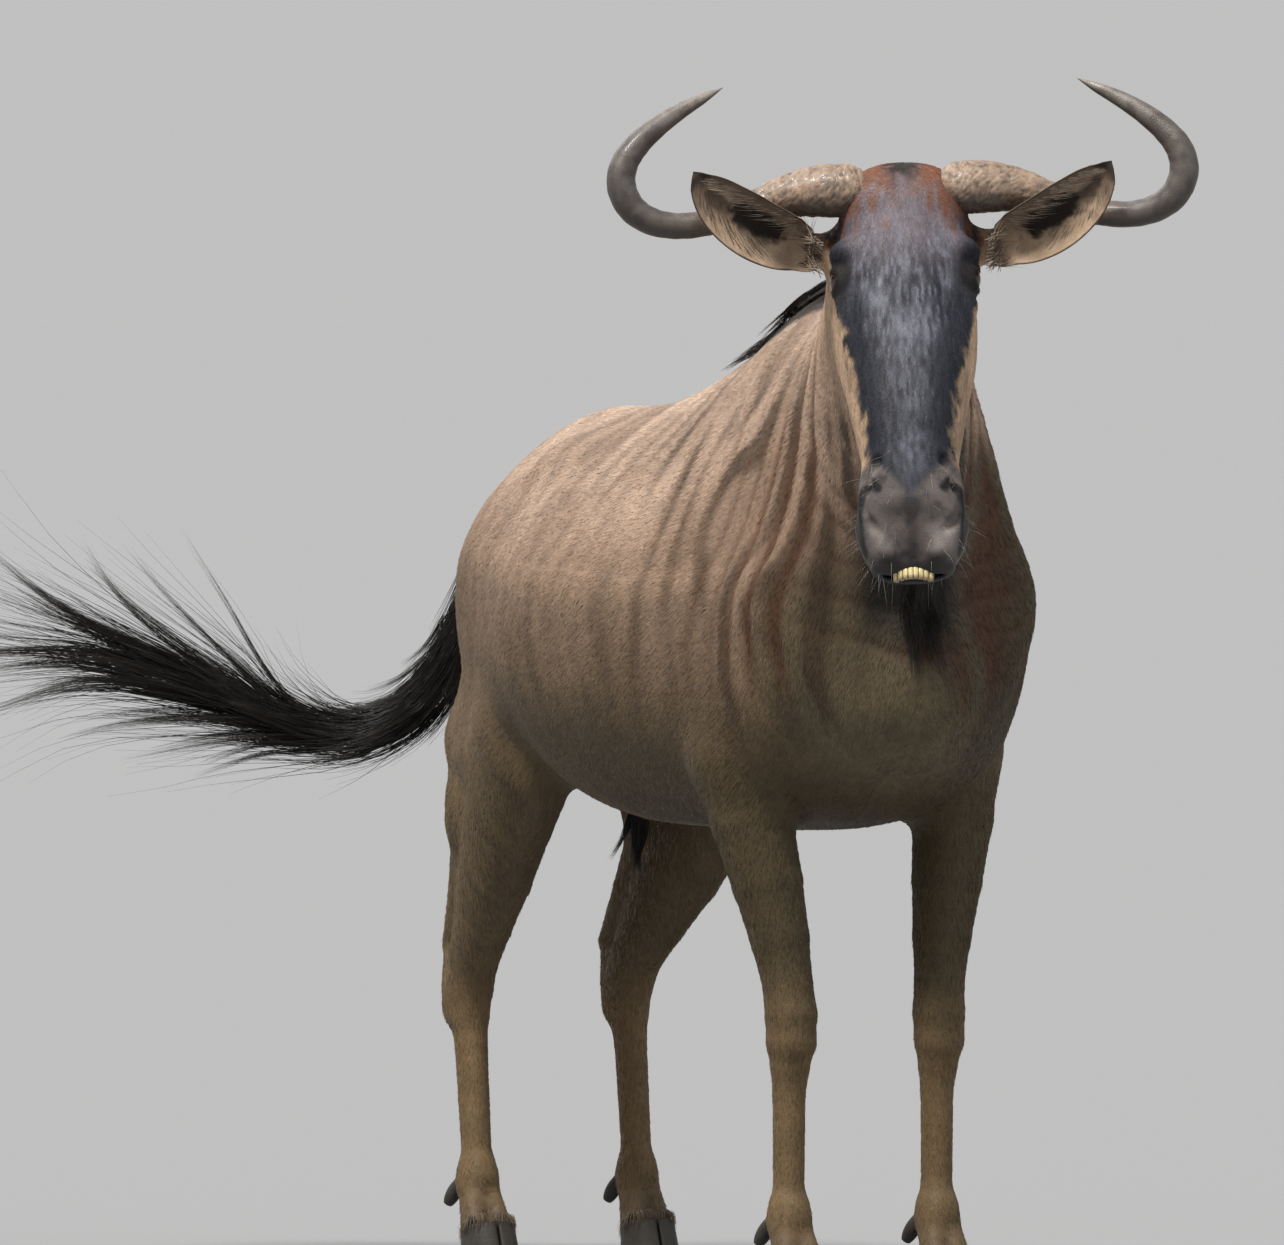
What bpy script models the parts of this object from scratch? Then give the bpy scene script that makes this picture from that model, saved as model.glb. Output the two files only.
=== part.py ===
import math

import bmesh
import bpy
import numpy as np
from mathutils import Vector

# Still model of a blue wildebeest bull, life size, metres, +Z up, facing -Y with the head turned to -X.
# Before it is centred, Y is zero at the front feet and X is zero at the middle of the body.

# Head: top of the poll, turn to the right, lean of the face from upright, and roll
POLL = np.array((-0.135, -0.45, 1.427))
HEAD_TURN = math.radians(-23.0)
HEAD_LEAN = math.radians(24.0)
HEAD_ROLL = math.radians(1.5)

# Trunk sections: y, top, height of the widest place, bottom, half width, upper and lower roundness
TRUNK = (
    (-0.15, 1.200, 0.880, 0.690, 0.150, 1.45, 2.0),
    (-0.07, 1.260, 0.870, 0.630, 0.184, 1.30, 2.1),
    (0.05, 1.285, 0.860, 0.605, 0.208, 1.22, 2.2),
    (0.15, 1.269, 0.855, 0.600, 0.224, 1.22, 2.3),
    (0.26, 1.220, 0.855, 0.598, 0.240, 1.26, 2.3),
    (0.39, 1.176, 0.860, 0.597, 0.250, 1.36, 2.3),
    (0.55, 1.142, 0.870, 0.602, 0.248, 1.48, 2.2),
    (0.68, 1.134, 0.885, 0.628, 0.226, 1.42, 2.1),
    (0.80, 1.133, 0.900, 0.672, 0.198, 1.34, 2.0),
    (0.92, 1.112, 0.900, 0.730, 0.166, 1.38, 2.0),
    (1.01, 1.078, 0.895, 0.775, 0.134, 1.50, 2.0),
    (1.07, 1.048, 0.900, 0.835, 0.104, 1.70, 2.0),
    (1.12, 1.010, 0.910, 0.865, 0.066, 1.90, 2.0),
)
TRUNK_CAP = 0.40

# Neck sections from chest to poll: centre x, y, z, half width, half depth
NECK = (
    (0.000, -0.020, 1.030, 0.148, 0.228),
    (-0.014, -0.115, 1.090, 0.122, 0.200),
    (-0.042, -0.200, 1.155, 0.101, 0.168),
    (-0.078, -0.285, 1.220, 0.088, 0.140),
    (-0.112, -0.370, 1.285, 0.080, 0.118),
)

NECK_STEPS = 10

# Head sections down the face: height below the poll, front, back, half width, roundness
SKULL = (
    (-0.500, 0.040, 0.098, 0.052, 2.6),
    (-0.480, 0.020, 0.112, 0.0620, 2.8),
    (-0.450, 0.006, 0.118, 0.0660, 2.8),
    (-0.410, 0.000, 0.120, 0.0640, 2.7),
    (-0.370, -0.007, 0.128, 0.0595, 2.7),
    (-0.330, -0.012, 0.142, 0.0650, 2.7),
    (-0.280, -0.015, 0.165, 0.0730, 2.7),
    (-0.200, -0.015, 0.196, 0.0825, 2.6),
    (-0.160, -0.014, 0.200, 0.0850, 2.5),
    (-0.120, -0.012, 0.190, 0.0850, 2.5),
    (-0.070, -0.006, 0.175, 0.0810, 2.5),
    (-0.030, 0.000, 0.155, 0.0760, 2.5),
    (-0.008, 0.010, 0.135, 0.0680, 2.4),
)

EYE_PLACE = (0.0715, 0.050, -0.129)
EYE_RADIUS = 0.0205

# Horn line on the left side: out, back and up from the poll, thickness up and down, thickness fore and aft
HORN = (
    (0.046, 0.026, -0.022, 0.024, 0.026),
    (0.056, 0.027, -0.024, 0.031, 0.034),
    (0.075, 0.029, -0.026, 0.0345, 0.038),
    (0.103, 0.031, -0.026, 0.0335, 0.036),
    (0.137, 0.032, -0.030, 0.0290, 0.030),
    (0.170, 0.031, -0.039, 0.0235, 0.024),
    (0.204, 0.028, -0.051, 0.0190, 0.0195),
    (0.240, 0.022, -0.061, 0.0170, 0.0175),
    (0.276, 0.013, -0.064, 0.0165, 0.0170),
    (0.308, 0.005, -0.057, 0.0172, 0.0172),
    (0.331, 0.000, -0.040, 0.0180, 0.0176),
    (0.342, 0.000, -0.014, 0.0183, 0.0176),
    (0.338, 0.003, 0.012, 0.0173, 0.0168),
    (0.322, 0.010, 0.035, 0.0155, 0.0152),
    (0.297, 0.019, 0.057, 0.0132, 0.0130),
    (0.268, 0.029, 0.076, 0.0102, 0.0100),
    (0.240, 0.037, 0.091, 0.0066, 0.0065),
    (0.222, 0.042, 0.100, 0.0022, 0.0022),
)
HORN_SIDES = 10

# Ear line on the left side: out, back and up from the poll, half width, depth of the cup
EAR = (
    (0.1078, 0.058, -0.096, 0.0180, 0.022),
    (0.122, 0.052, -0.093, 0.0240, 0.024),
    (0.138, 0.036, -0.087, 0.0310, 0.026),
    (0.157, 0.018, -0.079, 0.0365, 0.026),
    (0.177, 0.004, -0.069, 0.0390, 0.024),
    (0.197, -0.006, -0.056, 0.0385, 0.021),
    (0.215, -0.013, -0.042, 0.0350, 0.018),
    (0.230, -0.018, -0.028, 0.0290, 0.014),
    (0.242, -0.021, -0.015, 0.0195, 0.009),
    (0.250, -0.023, -0.004, 0.0080, 0.004),
)
EAR_CUT = 0.1070
EAR_THICKNESS = 0.0042
EAR_STEPS_ACROSS = 8

# Forelegs from elbow to fetlock: x (from the knee line in the lower rows), y, z, half width, half depth
KNEE_X = {1: 0.105, -1: 0.095}
ELBOW_SHIFT = {1: 0.0, -1: -0.010}
FOREARM = (
    (0.149, 0.050, 0.690, 0.056, 0.070),
    (0.141, 0.035, 0.620, 0.052, 0.062),
    (0.127, 0.020, 0.545, 0.0455, 0.052),
)
FORE_SHANK = (
    (0.010, 0.008, 0.475, 0.0380, 0.044),
    (0.003, 0.000, 0.420, 0.0325, 0.037),
    (0.000, -0.005, 0.380, 0.0335, 0.037),
    (0.000, -0.006, 0.345, 0.0325, 0.035),
    (0.000, -0.002, 0.315, 0.0260, 0.029),
    (0.000, 0.001, 0.280, 0.0215, 0.026),
    (0.000, 0.002, 0.150, 0.0205, 0.0255),
)

# Hind legs from stifle to fetlock, and the tendon to the point of the hock
HOCK_X = 0.112
GASKIN = (
    (0.148, 0.745, 0.700, 0.064, 0.110),
    (0.142, 0.815, 0.625, 0.055, 0.096),
    (0.132, 0.888, 0.545, 0.046, 0.080),
    (0.122, 0.958, 0.475, 0.0370, 0.062),
    (0.115, 1.012, 0.418, 0.0325, 0.046),
    (0.112, 1.033, 0.375, 0.0305, 0.040),
    (0.112, 1.036, 0.335, 0.0260, 0.034),
    (0.112, 1.030, 0.300, 0.0220, 0.0285),
    (0.112, 1.010, 0.155, 0.0205, 0.026),
)
HOCK_TENDON = (
    (0.128, 0.965, 0.610, 0.034, 0.050),
    (0.116, 1.040, 0.500, 0.0230, 0.030),
    (0.110, 1.094, 0.430, 0.0170, 0.019),
    (0.112, 1.062, 0.350, 0.0230, 0.024),
)
FORE_Y = 0.0
HIND_Y = 1.008
LEG_CUT = 0.5860

# Hooves: each foot has two claws and two dewclaws
CORONET = 0.064
CORONET_SLOPE = 0.30
CLAW_GAP = 0.0035
CLAW_LENGTH = 0.094
CLAW_WIDTH = 0.0365
CLAW_TOP_LENGTH = 0.066
CLAW_TOP_WIDTH = 0.0325

# Tail line: x, y, z, radius of the dock and then of the hair's middle
TAIL = (
    (0.000, 1.085, 1.010, 0.027),
    (-0.003, 1.165, 0.985, 0.026),
    (-0.018, 1.215, 0.900, 0.023),
    (-0.057, 1.250, 0.789, 0.021),
    (-0.105, 1.288, 0.722, 0.019),
    (-0.168, 1.330, 0.696, 0.017),
    (-0.250, 1.367, 0.715, 0.015),
    (-0.332, 1.400, 0.753, 0.012),
    (-0.474, 1.450, 0.805, 0.008),
    (-0.605, 1.480, 0.830, 0.003),
)
DOCK_END = 2.0
TAIL_SPLIT = 5.0

# Root lines of the hair, as pairs inside and outside the skin: mane along the crest, beard down the throat
CREST = (
    (-0.0975, -0.318),
    (-0.080, -0.278),
    (-0.052, -0.213),
    (-0.024, -0.130),
    (-0.006, -0.040),
    (0.000, 0.050),
    (0.000, 0.140),
    (0.000, 0.230),
    (0.000, 0.310),
)
THROAT = (
    ((-0.072, -0.285, 1.120), (-0.092, -0.400, 1.010)),
    ((-0.054, -0.245, 1.070), (-0.070, -0.400, 0.965)),
    ((-0.038, -0.210, 1.020), (-0.048, -0.400, 0.930)),
    ((-0.024, -0.185, 0.960), (-0.030, -0.400, 0.890)),
    ((-0.012, -0.165, 0.900), (-0.014, -0.400, 0.850)),
)
# In the head's own axes
JAW_LINE = (
    ((0.0, 0.080, -0.440), (0.0, 0.200, -0.470)),
    ((0.0, 0.085, -0.400), (0.0, 0.210, -0.440)),
    ((0.0, 0.095, -0.360), (0.0, 0.220, -0.405)),
    ((0.0, 0.100, -0.320), (0.0, 0.230, -0.370)),
)
POLL_LINE = (
    ((0.0, 0.090, -0.060), (0.0, 0.096, 0.060)),
    ((0.0, 0.070, -0.060), (0.0, 0.064, 0.060)),
    ((0.0, 0.054, -0.060), (0.0, 0.034, 0.055)),
    ((0.0, 0.046, -0.062), (0.0, 0.004, 0.045)),
    ((0.0, 0.040, -0.066), (0.0, -0.024, 0.020)),
    ((0.0, 0.036, -0.070), (0.0, -0.050, -0.020)),
)
SHEATH = (
    ((0.0, 0.700, 0.660), (0.0, 0.700, 0.500)),
    ((0.0, 0.725, 0.660), (0.0, 0.725, 0.500)),
    ((0.0, 0.750, 0.660), (0.0, 0.750, 0.500)),
)

# Locks of hair: how many, shortest and longest, width, thickness, and the room left to the skin
MANE_LOCKS = (20, 0.090, 0.150, 0.034, 0.0065, 0.0050)
THROAT_LOCKS = (18, 0.120, 0.180, 0.028, 0.0060, 0.0065)
BEARD_LOCKS = (10, 0.060, 0.095, 0.018, 0.0055, 0.0050)
SHEATH_LOCKS = (5, 0.055, 0.085, 0.016, 0.0050, 0.0050)
TAIL_UPPER_LOCKS = (14, 0.150, 0.230, 0.030, 0.0065, 0.0080)
TAIL_LOWER_LOCKS = (25, 0.230, 0.360, 0.028, 0.0060, 0.0080)

GAP = 0.0003


def soft_min(a, b, k):
    h = np.clip(0.5 + 0.5 * (b - a) / k, 0.0, 1.0)
    return b + (a - b) * h - k * h * (1.0 - h)


def soft_max(a, b, k):
    return -soft_min(-a, -b, k)


def curve(knots, values, at):
    """Smooth line through the values, held level past both ends."""
    k = np.asarray(knots, float)
    v = np.asarray(values, float)
    slope = np.gradient(v, k)
    i = np.clip(np.searchsorted(k, at) - 1, 0, len(k) - 2)
    h = k[i + 1] - k[i]
    t = np.clip((at - k[i]) / h, 0.0, 1.0)
    start = (1 + 2 * t) * (1 - t) ** 2 * v[i] + t * (1 - t) ** 2 * h * slope[i]
    end = t * t * (3 - 2 * t) * v[i + 1] + t * t * (t - 1) * h * slope[i + 1]
    return start + end


def unit(v):
    v = np.asarray(v, float)
    return v / np.linalg.norm(v)


def limb(p, start, end, r_start, r_end, side=(1.0, 0.0, 0.0)):
    """Rounded tapering rod; each radius is a pair, across and fore and aft."""
    a = np.asarray(start, float)
    axis = np.asarray(end, float) - a
    length = np.linalg.norm(axis)
    axis = axis / length
    side = np.asarray(side, float)
    side = unit(side - axis * side.dot(axis))
    deep = np.cross(axis, side)
    d = p - a
    along = d @ axis
    t = np.clip(along / length, 0.0, 1.0)
    w = r_start[0] + (r_end[0] - r_start[0]) * t
    h = r_start[1] + (r_end[1] - r_start[1]) * t
    small = np.minimum(w, h)
    over = (along - t * length) / small
    return (np.sqrt((d @ side / w) ** 2 + (d @ deep / h) ** 2 + over ** 2) - 1.0) * small


def egg(p, centre, radii):
    q = (p - np.asarray(centre)) / np.asarray(radii)
    return (np.sqrt((q * q).sum(1)) - 1.0) * min(radii)


def mirrored(p, side):
    q = p.copy()
    q[:, 0] *= side
    return q


# Forms of the flesh

def trunk(p):
    y = p[:, 1]
    rows = np.array(TRUNK)
    inside = np.clip(y, rows[0, 0], rows[-1, 0])
    top, wide, low, half, up, down = (curve(rows[:, 0], rows[:, c], inside) for c in range(1, 7))
    rise = p[:, 2] - wide
    above = np.clip(rise / 0.14 + 0.5, 0.0, 1.0)
    n = down + (up - down) * above
    h = np.where(rise > 0, top - wide, wide - low)
    x = np.sqrt(p[:, 0] ** 2 + 0.012 ** 2) - 0.006
    # The rise is rounded off at the widest height, so that no crease runs along the side
    z = (np.sqrt(rise ** 2 + 0.03 ** 2) - 0.03) / (np.sqrt(h ** 2 + 0.03 ** 2) - 0.03)
    r = ((x / half) ** n + z ** n) ** (1.0 / n)
    small = np.minimum(half, (top - low) / 2)
    over = (y - inside) / (small * TRUNK_CAP)
    return (np.sqrt(r * r + over * over) - 1.0) * small


def trunk_forms(p):
    q = p.copy()
    q[:, 0] = np.abs(q[:, 0])
    d = trunk(p)
    d = soft_min(d, egg(p, (0.0, -0.155, 0.815), (0.095, 0.105, 0.125)), 0.05)
    d = soft_min(d, limb(q, (0.062, 0.040, 1.120), (0.122, -0.090, 0.900), (0.028, 0.075), (0.060, 0.088)), 0.04)
    d = soft_min(d, limb(q, (0.124, -0.090, 0.880), (0.138, 0.045, 0.710), (0.060, 0.085), (0.054, 0.075)), 0.04)
    d = soft_min(d, limb(q, (0.074, 0.800, 0.945), (0.140, 0.715, 0.745), (0.084, 0.130), (0.062, 0.105)), 0.05)
    d = soft_min(d, limb(q, (0.050, 1.000, 0.900), (0.098, 0.985, 0.700), (0.056, 0.085), (0.054, 0.085)), 0.05)
    d = soft_min(d, limb(q, (0.100, 0.980, 0.700), (0.124, 0.960, 0.600), (0.054, 0.082), (0.042, 0.060)), 0.03)
    d = soft_min(d, limb(q, (0.098, 0.880, 0.900), (0.134, 0.860, 0.690), (0.055, 0.110), (0.054, 0.100)), 0.04)
    d = soft_min(d, egg(q, (0.100, 0.660, 1.040), (0.045, 0.085, 0.045)), 0.05)
    d = soft_min(d, egg(p, (0.0, 0.665, 0.628), (0.032, 0.090, 0.030)), 0.03)
    return d


def sleeve(p, rows, sides, k):
    """Row of rods end to end; each row holds a place, a half width and a half depth."""
    d = None
    for a, b, side in zip(rows, rows[1:], sides):
        piece = limb(p, a[:3], b[:3], a[3:], b[3:], side)
        d = piece if d is None else soft_min(d, piece, k)
    return d


def neck(p):
    rows = np.array(NECK)
    at = np.arange(len(rows), dtype=float)
    fine = np.linspace(0, len(rows) - 1, NECK_STEPS + 1)
    rows = np.stack([curve(at, rows[:, c], fine) for c in range(5)], -1)
    turn = np.linspace(0.1, 0.38, NECK_STEPS)
    sides = [(math.cos(a), -math.sin(a), 0.0) for a in turn]
    return sleeve(p, rows, sides, 0.008)


def digits(p, x, y):
    """Pastern parted in two toes above the coronet."""
    d = egg(p, (x, y, 0.130), (0.0285, 0.034, 0.033))
    for s in (-1, 1):
        toe = limb(p, (x + s * 0.010, y - 0.006, 0.112), (x + s * 0.0185, y - 0.036, 0.050), (0.0175, 0.022), (0.0178, 0.028))
        d = soft_min(d, toe, 0.010)
    heel = limb(p, (x, y + 0.020, 0.118), (x, y + 0.004, 0.080), (0.020, 0.014), (0.018, 0.012))
    return soft_min(d, heel, 0.014)


def foreleg(p, side):
    q = mirrored(p, side)
    x = KNEE_X[side]
    rows = tuple((row[0] + ELBOW_SHIFT[side],) + row[1:] for row in FOREARM)
    rows += tuple((x + row[0],) + row[1:] for row in FORE_SHANK)
    d = sleeve(q, rows, ((1.0, 0.0, 0.0),) * len(rows), 0.003)
    d = soft_min(d, egg(q, (0.146, 0.085, 0.672), (0.028, 0.034, 0.045)), 0.03)
    d = soft_min(d, egg(q, (x, 0.026, 0.383), (0.014, 0.013, 0.020)), 0.012)
    return soft_min(d, digits(q, x, FORE_Y), 0.012)


def hindleg(p, side):
    q = mirrored(p, side)
    d = sleeve(q, GASKIN, ((1.0, 0.0, 0.0),) * len(GASKIN), 0.003)
    d = soft_min(d, sleeve(q, HOCK_TENDON, ((1.0, 0.0, 0.0),) * 3, 0.004), 0.030)
    return soft_min(d, digits(q, HOCK_X, HIND_Y), 0.012)


def head_axes():
    """Columns are the head's left, back and up in the body's axes, first with roll and lean, then turned."""
    cr, sr = math.cos(HEAD_ROLL), math.sin(HEAD_ROLL)
    cl, sl = math.cos(HEAD_LEAN), math.sin(HEAD_LEAN)
    ct, st = math.cos(HEAD_TURN), math.sin(HEAD_TURN)
    lean = np.array(((1, 0, 0), (0, cl, sl), (0, -sl, cl)))
    roll = np.array(((cr, 0, -sr), (0, 1, 0), (sr, 0, cr)))
    turn = np.array(((ct, -st, 0), (st, ct, 0), (0, 0, 1)))
    return turn @ roll @ lean, turn @ roll


HEAD_AXES, LEVEL_AXES = head_axes()


def from_head(q):
    return POLL + np.asarray(q, float) @ HEAD_AXES.T


def from_level(q):
    """Out, back and up from the poll, turned and rolled with the head but not leaning."""
    return POLL + np.asarray(q, float) @ LEVEL_AXES.T


def skull(q):
    z = q[:, 2]
    rows = np.array(SKULL)
    inside = np.clip(z, rows[0, 0], rows[-1, 0])
    front, back, half, n = (curve(rows[:, 0], rows[:, c], inside) for c in range(1, 5))
    h = (back - front) / 2
    mid = (back + front) / 2
    r = ((np.abs(q[:, 0]) / half) ** n + (np.abs(q[:, 1] - mid) / h) ** n) ** (1.0 / n)
    small = np.minimum(half, h)
    over = (z - inside) / (small * 0.62)
    return (np.sqrt(r * r + over * over) - 1.0) * small


def groove(p, points, radius):
    d = None
    for a, b in zip(points, points[1:]):
        piece = limb(p, a, b, (radius, radius), (radius, radius))
        d = piece if d is None else np.minimum(d, piece)
    return d


def head(p):
    q = (p - POLL) @ HEAD_AXES
    m = q.copy()
    m[:, 0] = np.abs(m[:, 0])
    d = skull(q)
    # Cheek muscle, cheek bone, brow and jaw angle
    d = soft_min(d, egg(m, (0.052, 0.130, -0.185), (0.028, 0.060, 0.070)), 0.02)
    d = soft_min(d, limb(m, (0.070, 0.045, -0.165), (0.060, 0.035, -0.260), (0.016, 0.020), (0.008, 0.012)), 0.015)
    d = soft_min(d, egg(m, (0.070, 0.040, -0.098), (0.022, 0.032, 0.017)), 0.014)
    # Crown between the horns, over their inner ends
    d = soft_min(d, egg(m, (0.024, 0.050, -0.030), (0.046, 0.046, 0.036)), 0.02)
    # Hollow of the temple and the one before the eye
    d = soft_max(d, -egg(m, (0.104, 0.105, -0.100), (0.024, 0.030, 0.030)), 0.014)
    d = soft_max(d, -egg(m, (0.098, 0.012, -0.160), (0.018, 0.020, 0.022)), 0.012)
    # Ear root
    root = from_level(EAR[0][:3]) - POLL
    root = root @ HEAD_AXES
    d = soft_min(d, limb(m, (0.052, 0.096, -0.070), root, (0.040, 0.036), (0.0185, 0.0205)), 0.018)
    d = soft_min(d, limb(m, root, root + (0.02, 0, 0.004), (0.019, 0.021), (0.019, 0.021)), 0.004)
    # Upper and lower eyelid round the eyeball
    eye = np.array(EYE_PLACE)
    lids = egg(m, eye, (0.0242, 0.0265, 0.0250))
    d = soft_min(d, lids, 0.007)
    slit = egg(m, eye + (0.024, -0.001, -0.001), (0.022, 0.0195, 0.0115))
    d = soft_max(d, -slit, 0.003)
    # Lips, chin and nose pad
    d = soft_min(d, egg(m, (0.0, 0.098, -0.478), (0.044, 0.026, 0.026)), 0.014)
    d = soft_min(d, limb(m, (0.030, 0.040, -0.492), (0.054, 0.066, -0.450), (0.014, 0.014), (0.012, 0.014)), 0.012)
    # Nostrils, comma shaped, and the mouth line
    d = soft_max(d, -groove(m, ((0.041, 0.006, -0.386), (0.058, 0.022, -0.400), (0.0615, 0.030, -0.425),
                                (0.058, 0.026, -0.452), (0.043, 0.016, -0.474)), 0.0070), 0.005)
    d = soft_max(d, -egg(m, (0.056, 0.024, -0.410), (0.012, 0.012, 0.016)), 0.006)
    d = soft_max(d, -groove(m, ((0.0, 0.060, -0.520), (0.030, 0.066, -0.508), (0.058, 0.080, -0.470),
                                (0.067, 0.093, -0.425)), 0.0052), 0.005)
    return d


def horn(p):
    q = (p - POLL) @ LEVEL_AXES
    q[:, 0] = np.abs(q[:, 0])
    rows = HORN[1::2]
    d = None
    for a, b in zip(rows, rows[1:]):
        piece = limb(q, a[:3], b[:3], (a[4], a[3]), (b[4], b[3]), (0.0, 1.0, 0.0))
        d = piece if d is None else np.minimum(d, piece)
    return d


def flesh(p):
    d = trunk_forms(p)
    d = soft_min(d, neck(p), 0.045)
    d = soft_min(d, head(p), 0.030)
    for side in (-1, 1):
        d = soft_min(d, foreleg(p, side), 0.030)
        d = soft_min(d, hindleg(p, side), 0.030)
    return d


# Surface of a form, on a grid of cells

EDGES = [(a, b) for a in range(8) for b in range(a + 1, 8) if bin(a ^ b).count("1") == 1]
CORNERS = np.array([((c >> 2) & 1, (c >> 1) & 1, c & 1) for c in range(8)])


def joined(corners):
    """Whether these corners of a cell hang together along its edges."""
    left = set(corners)
    queue = [left.pop()] if left else []
    while queue:
        here = queue.pop()
        for other in list(left):
            if bin(here ^ other).count("1") == 1:
                left.discard(other)
                queue.append(other)
    return not left


def pinched_cells():
    """For each of the 256 patterns of corners inside a form: whether two sheets would meet in the cell."""
    table = []
    for pattern in range(256):
        inside = [c for c in range(8) if pattern >> c & 1]
        outside = [c for c in range(8) if not pattern >> c & 1]
        table.append(not (joined(inside) and joined(outside)))
    return np.array(table)


PINCHED = pinched_cells()


def surface_of(form, low, high, step):
    """Closed surface at the form's zero, as points and four-cornered faces."""
    block = 4
    low = np.asarray(low, float)
    counts = np.ceil((np.asarray(high) - low) / (step * block)).astype(int)
    blocks = np.stack(np.meshgrid(*[np.arange(n) for n in counts], indexing="ij"), -1).reshape(-1, 3)
    near = np.abs(form(low + (blocks + 0.5) * block * step)) < block * step * 1.5
    side = np.arange(block)
    offsets = np.stack(np.meshgrid(side, side, side, indexing="ij"), -1).reshape(-1, 3)
    cells = (blocks[near][:, None] * block + offsets).reshape(-1, 3)
    strides = np.array((4096 * 4096, 4096, 1))
    keys, places = np.unique((cells[:, None] + CORNERS) @ strides, return_inverse=True)
    places = places.reshape(-1, 8)
    spots = np.stack((keys // strides[0], keys // 4096 % 4096, keys % 4096), -1)
    value = form(low + spots * step)
    weights = 1 << np.arange(8)
    while True:
        pattern = (value[places] < 0) @ weights
        pinched = np.nonzero(PINCHED[pattern])[0]
        if len(pinched) == 0:
            break
        v = value[places[pinched]]
        shallow = np.argmax(np.where(v < 0, v, -1.0), axis=1)
        value[places[pinched, shallow]] = step * 0.01
    mixed = (pattern > 0) & (pattern < 255)
    cells = cells[mixed]
    v = value[places[mixed]]
    total = np.zeros((len(cells), 3))
    count = np.zeros(len(cells))
    for a, b in EDGES:
        crossing = (v[:, a] < 0) != (v[:, b] < 0)
        t = np.where(crossing, v[:, a] / np.where(crossing, v[:, a] - v[:, b], 1.0), 0.0)
        spot = CORNERS[a] + t[:, None] * (CORNERS[b] - CORNERS[a])
        total += spot * crossing[:, None]
        count += crossing
    points = low + (cells + total / count[:, None]) * step
    keys = cells @ strides
    order = np.argsort(keys)
    ranked = keys[order]
    faces = []
    for a, end in ((0, 4), (1, 2), (2, 1)):
        b, c = (a + 1) % 3, (a + 2) % 3
        starts = v[:, 0] < 0
        crossing = np.nonzero(starts != (v[:, end] < 0))[0]
        ring = []
        for shift in (0, strides[b], strides[b] + strides[c], strides[c]):
            ring.append(order[np.searchsorted(ranked, keys[crossing] - shift)])
        ring = np.stack(ring, -1)
        flip = ~starts[crossing]
        ring[flip] = ring[flip][:, ::-1]
        faces.append(ring)
    return points, np.concatenate(faces)


def gradient(form, p, h=0.0008):
    base = form(p)
    g = np.stack([form(p + h * np.eye(3)[a]) - base for a in range(3)], -1) / h
    return base, g


def settled(form, p, level=0.0, rounds=2):
    """Points moved onto the form's surface, or as far off it as the level says."""
    for _ in range(rounds):
        base, g = gradient(form, p)
        p = p - np.clip((base - level) / np.maximum((g * g).sum(1), 0.2), -0.02, 0.02)[:, None] * g
    return p


# Objects

def add_object(name, points, faces):
    mesh = bpy.data.meshes.new(name)
    mesh.from_pydata([tuple(map(float, v)) for v in points], [], [tuple(map(int, f)) for f in faces])
    mesh.validate()
    obj = bpy.data.objects.new(name, mesh)
    bpy.context.scene.collection.objects.link(obj)
    face_out(obj)
    return obj


def face_out(obj):
    bm = bmesh.new()
    bm.from_mesh(obj.data)
    bmesh.ops.recalc_face_normals(bm, faces=bm.faces)
    if bm.calc_volume(signed=True) < 0:
        bmesh.ops.reverse_faces(bm, faces=bm.faces)
    bm.to_mesh(obj.data)
    bm.free()


def bake(obj):
    """The object's mesh replaced by its own result with the modifiers."""
    graph = bpy.context.evaluated_depsgraph_get()
    result = bpy.data.meshes.new_from_object(obj.evaluated_get(graph))
    obj.modifiers.clear()
    old = obj.data
    obj.data = result
    result.name = obj.name
    bpy.data.meshes.remove(old)


def discard(obj):
    mesh = obj.data
    bpy.data.objects.remove(obj)
    bpy.data.meshes.remove(mesh)


def boolean(obj, cutter, operation):
    mod = obj.modifiers.new("cut", "BOOLEAN")
    mod.operation = operation
    mod.solver = "EXACT"
    mod.object = cutter
    bake(obj)
    discard(cutter)


def thin_out(obj, triangles):
    bm = bmesh.new()
    bm.from_mesh(obj.data)
    bmesh.ops.triangulate(bm, faces=bm.faces)
    bm.to_mesh(obj.data)
    count = len(bm.faces)
    bm.free()
    if count > triangles:
        mod = obj.modifiers.new("thin", "DECIMATE")
        mod.ratio = triangles / count
        bake(obj)


def tidy(obj):
    """Slivers merged, faces made triangles, and only the largest closed surface kept."""
    bm = bmesh.new()
    bm.from_mesh(obj.data)
    bmesh.ops.remove_doubles(bm, verts=bm.verts, dist=0.000002)
    bmesh.ops.triangulate(bm, faces=bm.faces)
    bm.faces.ensure_lookup_table()
    seen = set()
    groups = []
    for face in bm.faces:
        if face.index in seen:
            continue
        group = []
        queue = [face]
        seen.add(face.index)
        while queue:
            f = queue.pop()
            group.append(f)
            for edge in f.edges:
                for other in edge.link_faces:
                    if len(edge.link_faces) == 2 and other.index not in seen:
                        seen.add(other.index)
                        queue.append(other)
        groups.append(group)
    groups.sort(key=len)
    for group in groups[:-1]:
        bmesh.ops.delete(bm, geom=group, context="FACES")
    bm.to_mesh(obj.data)
    bm.free()
    face_out(obj)


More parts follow.
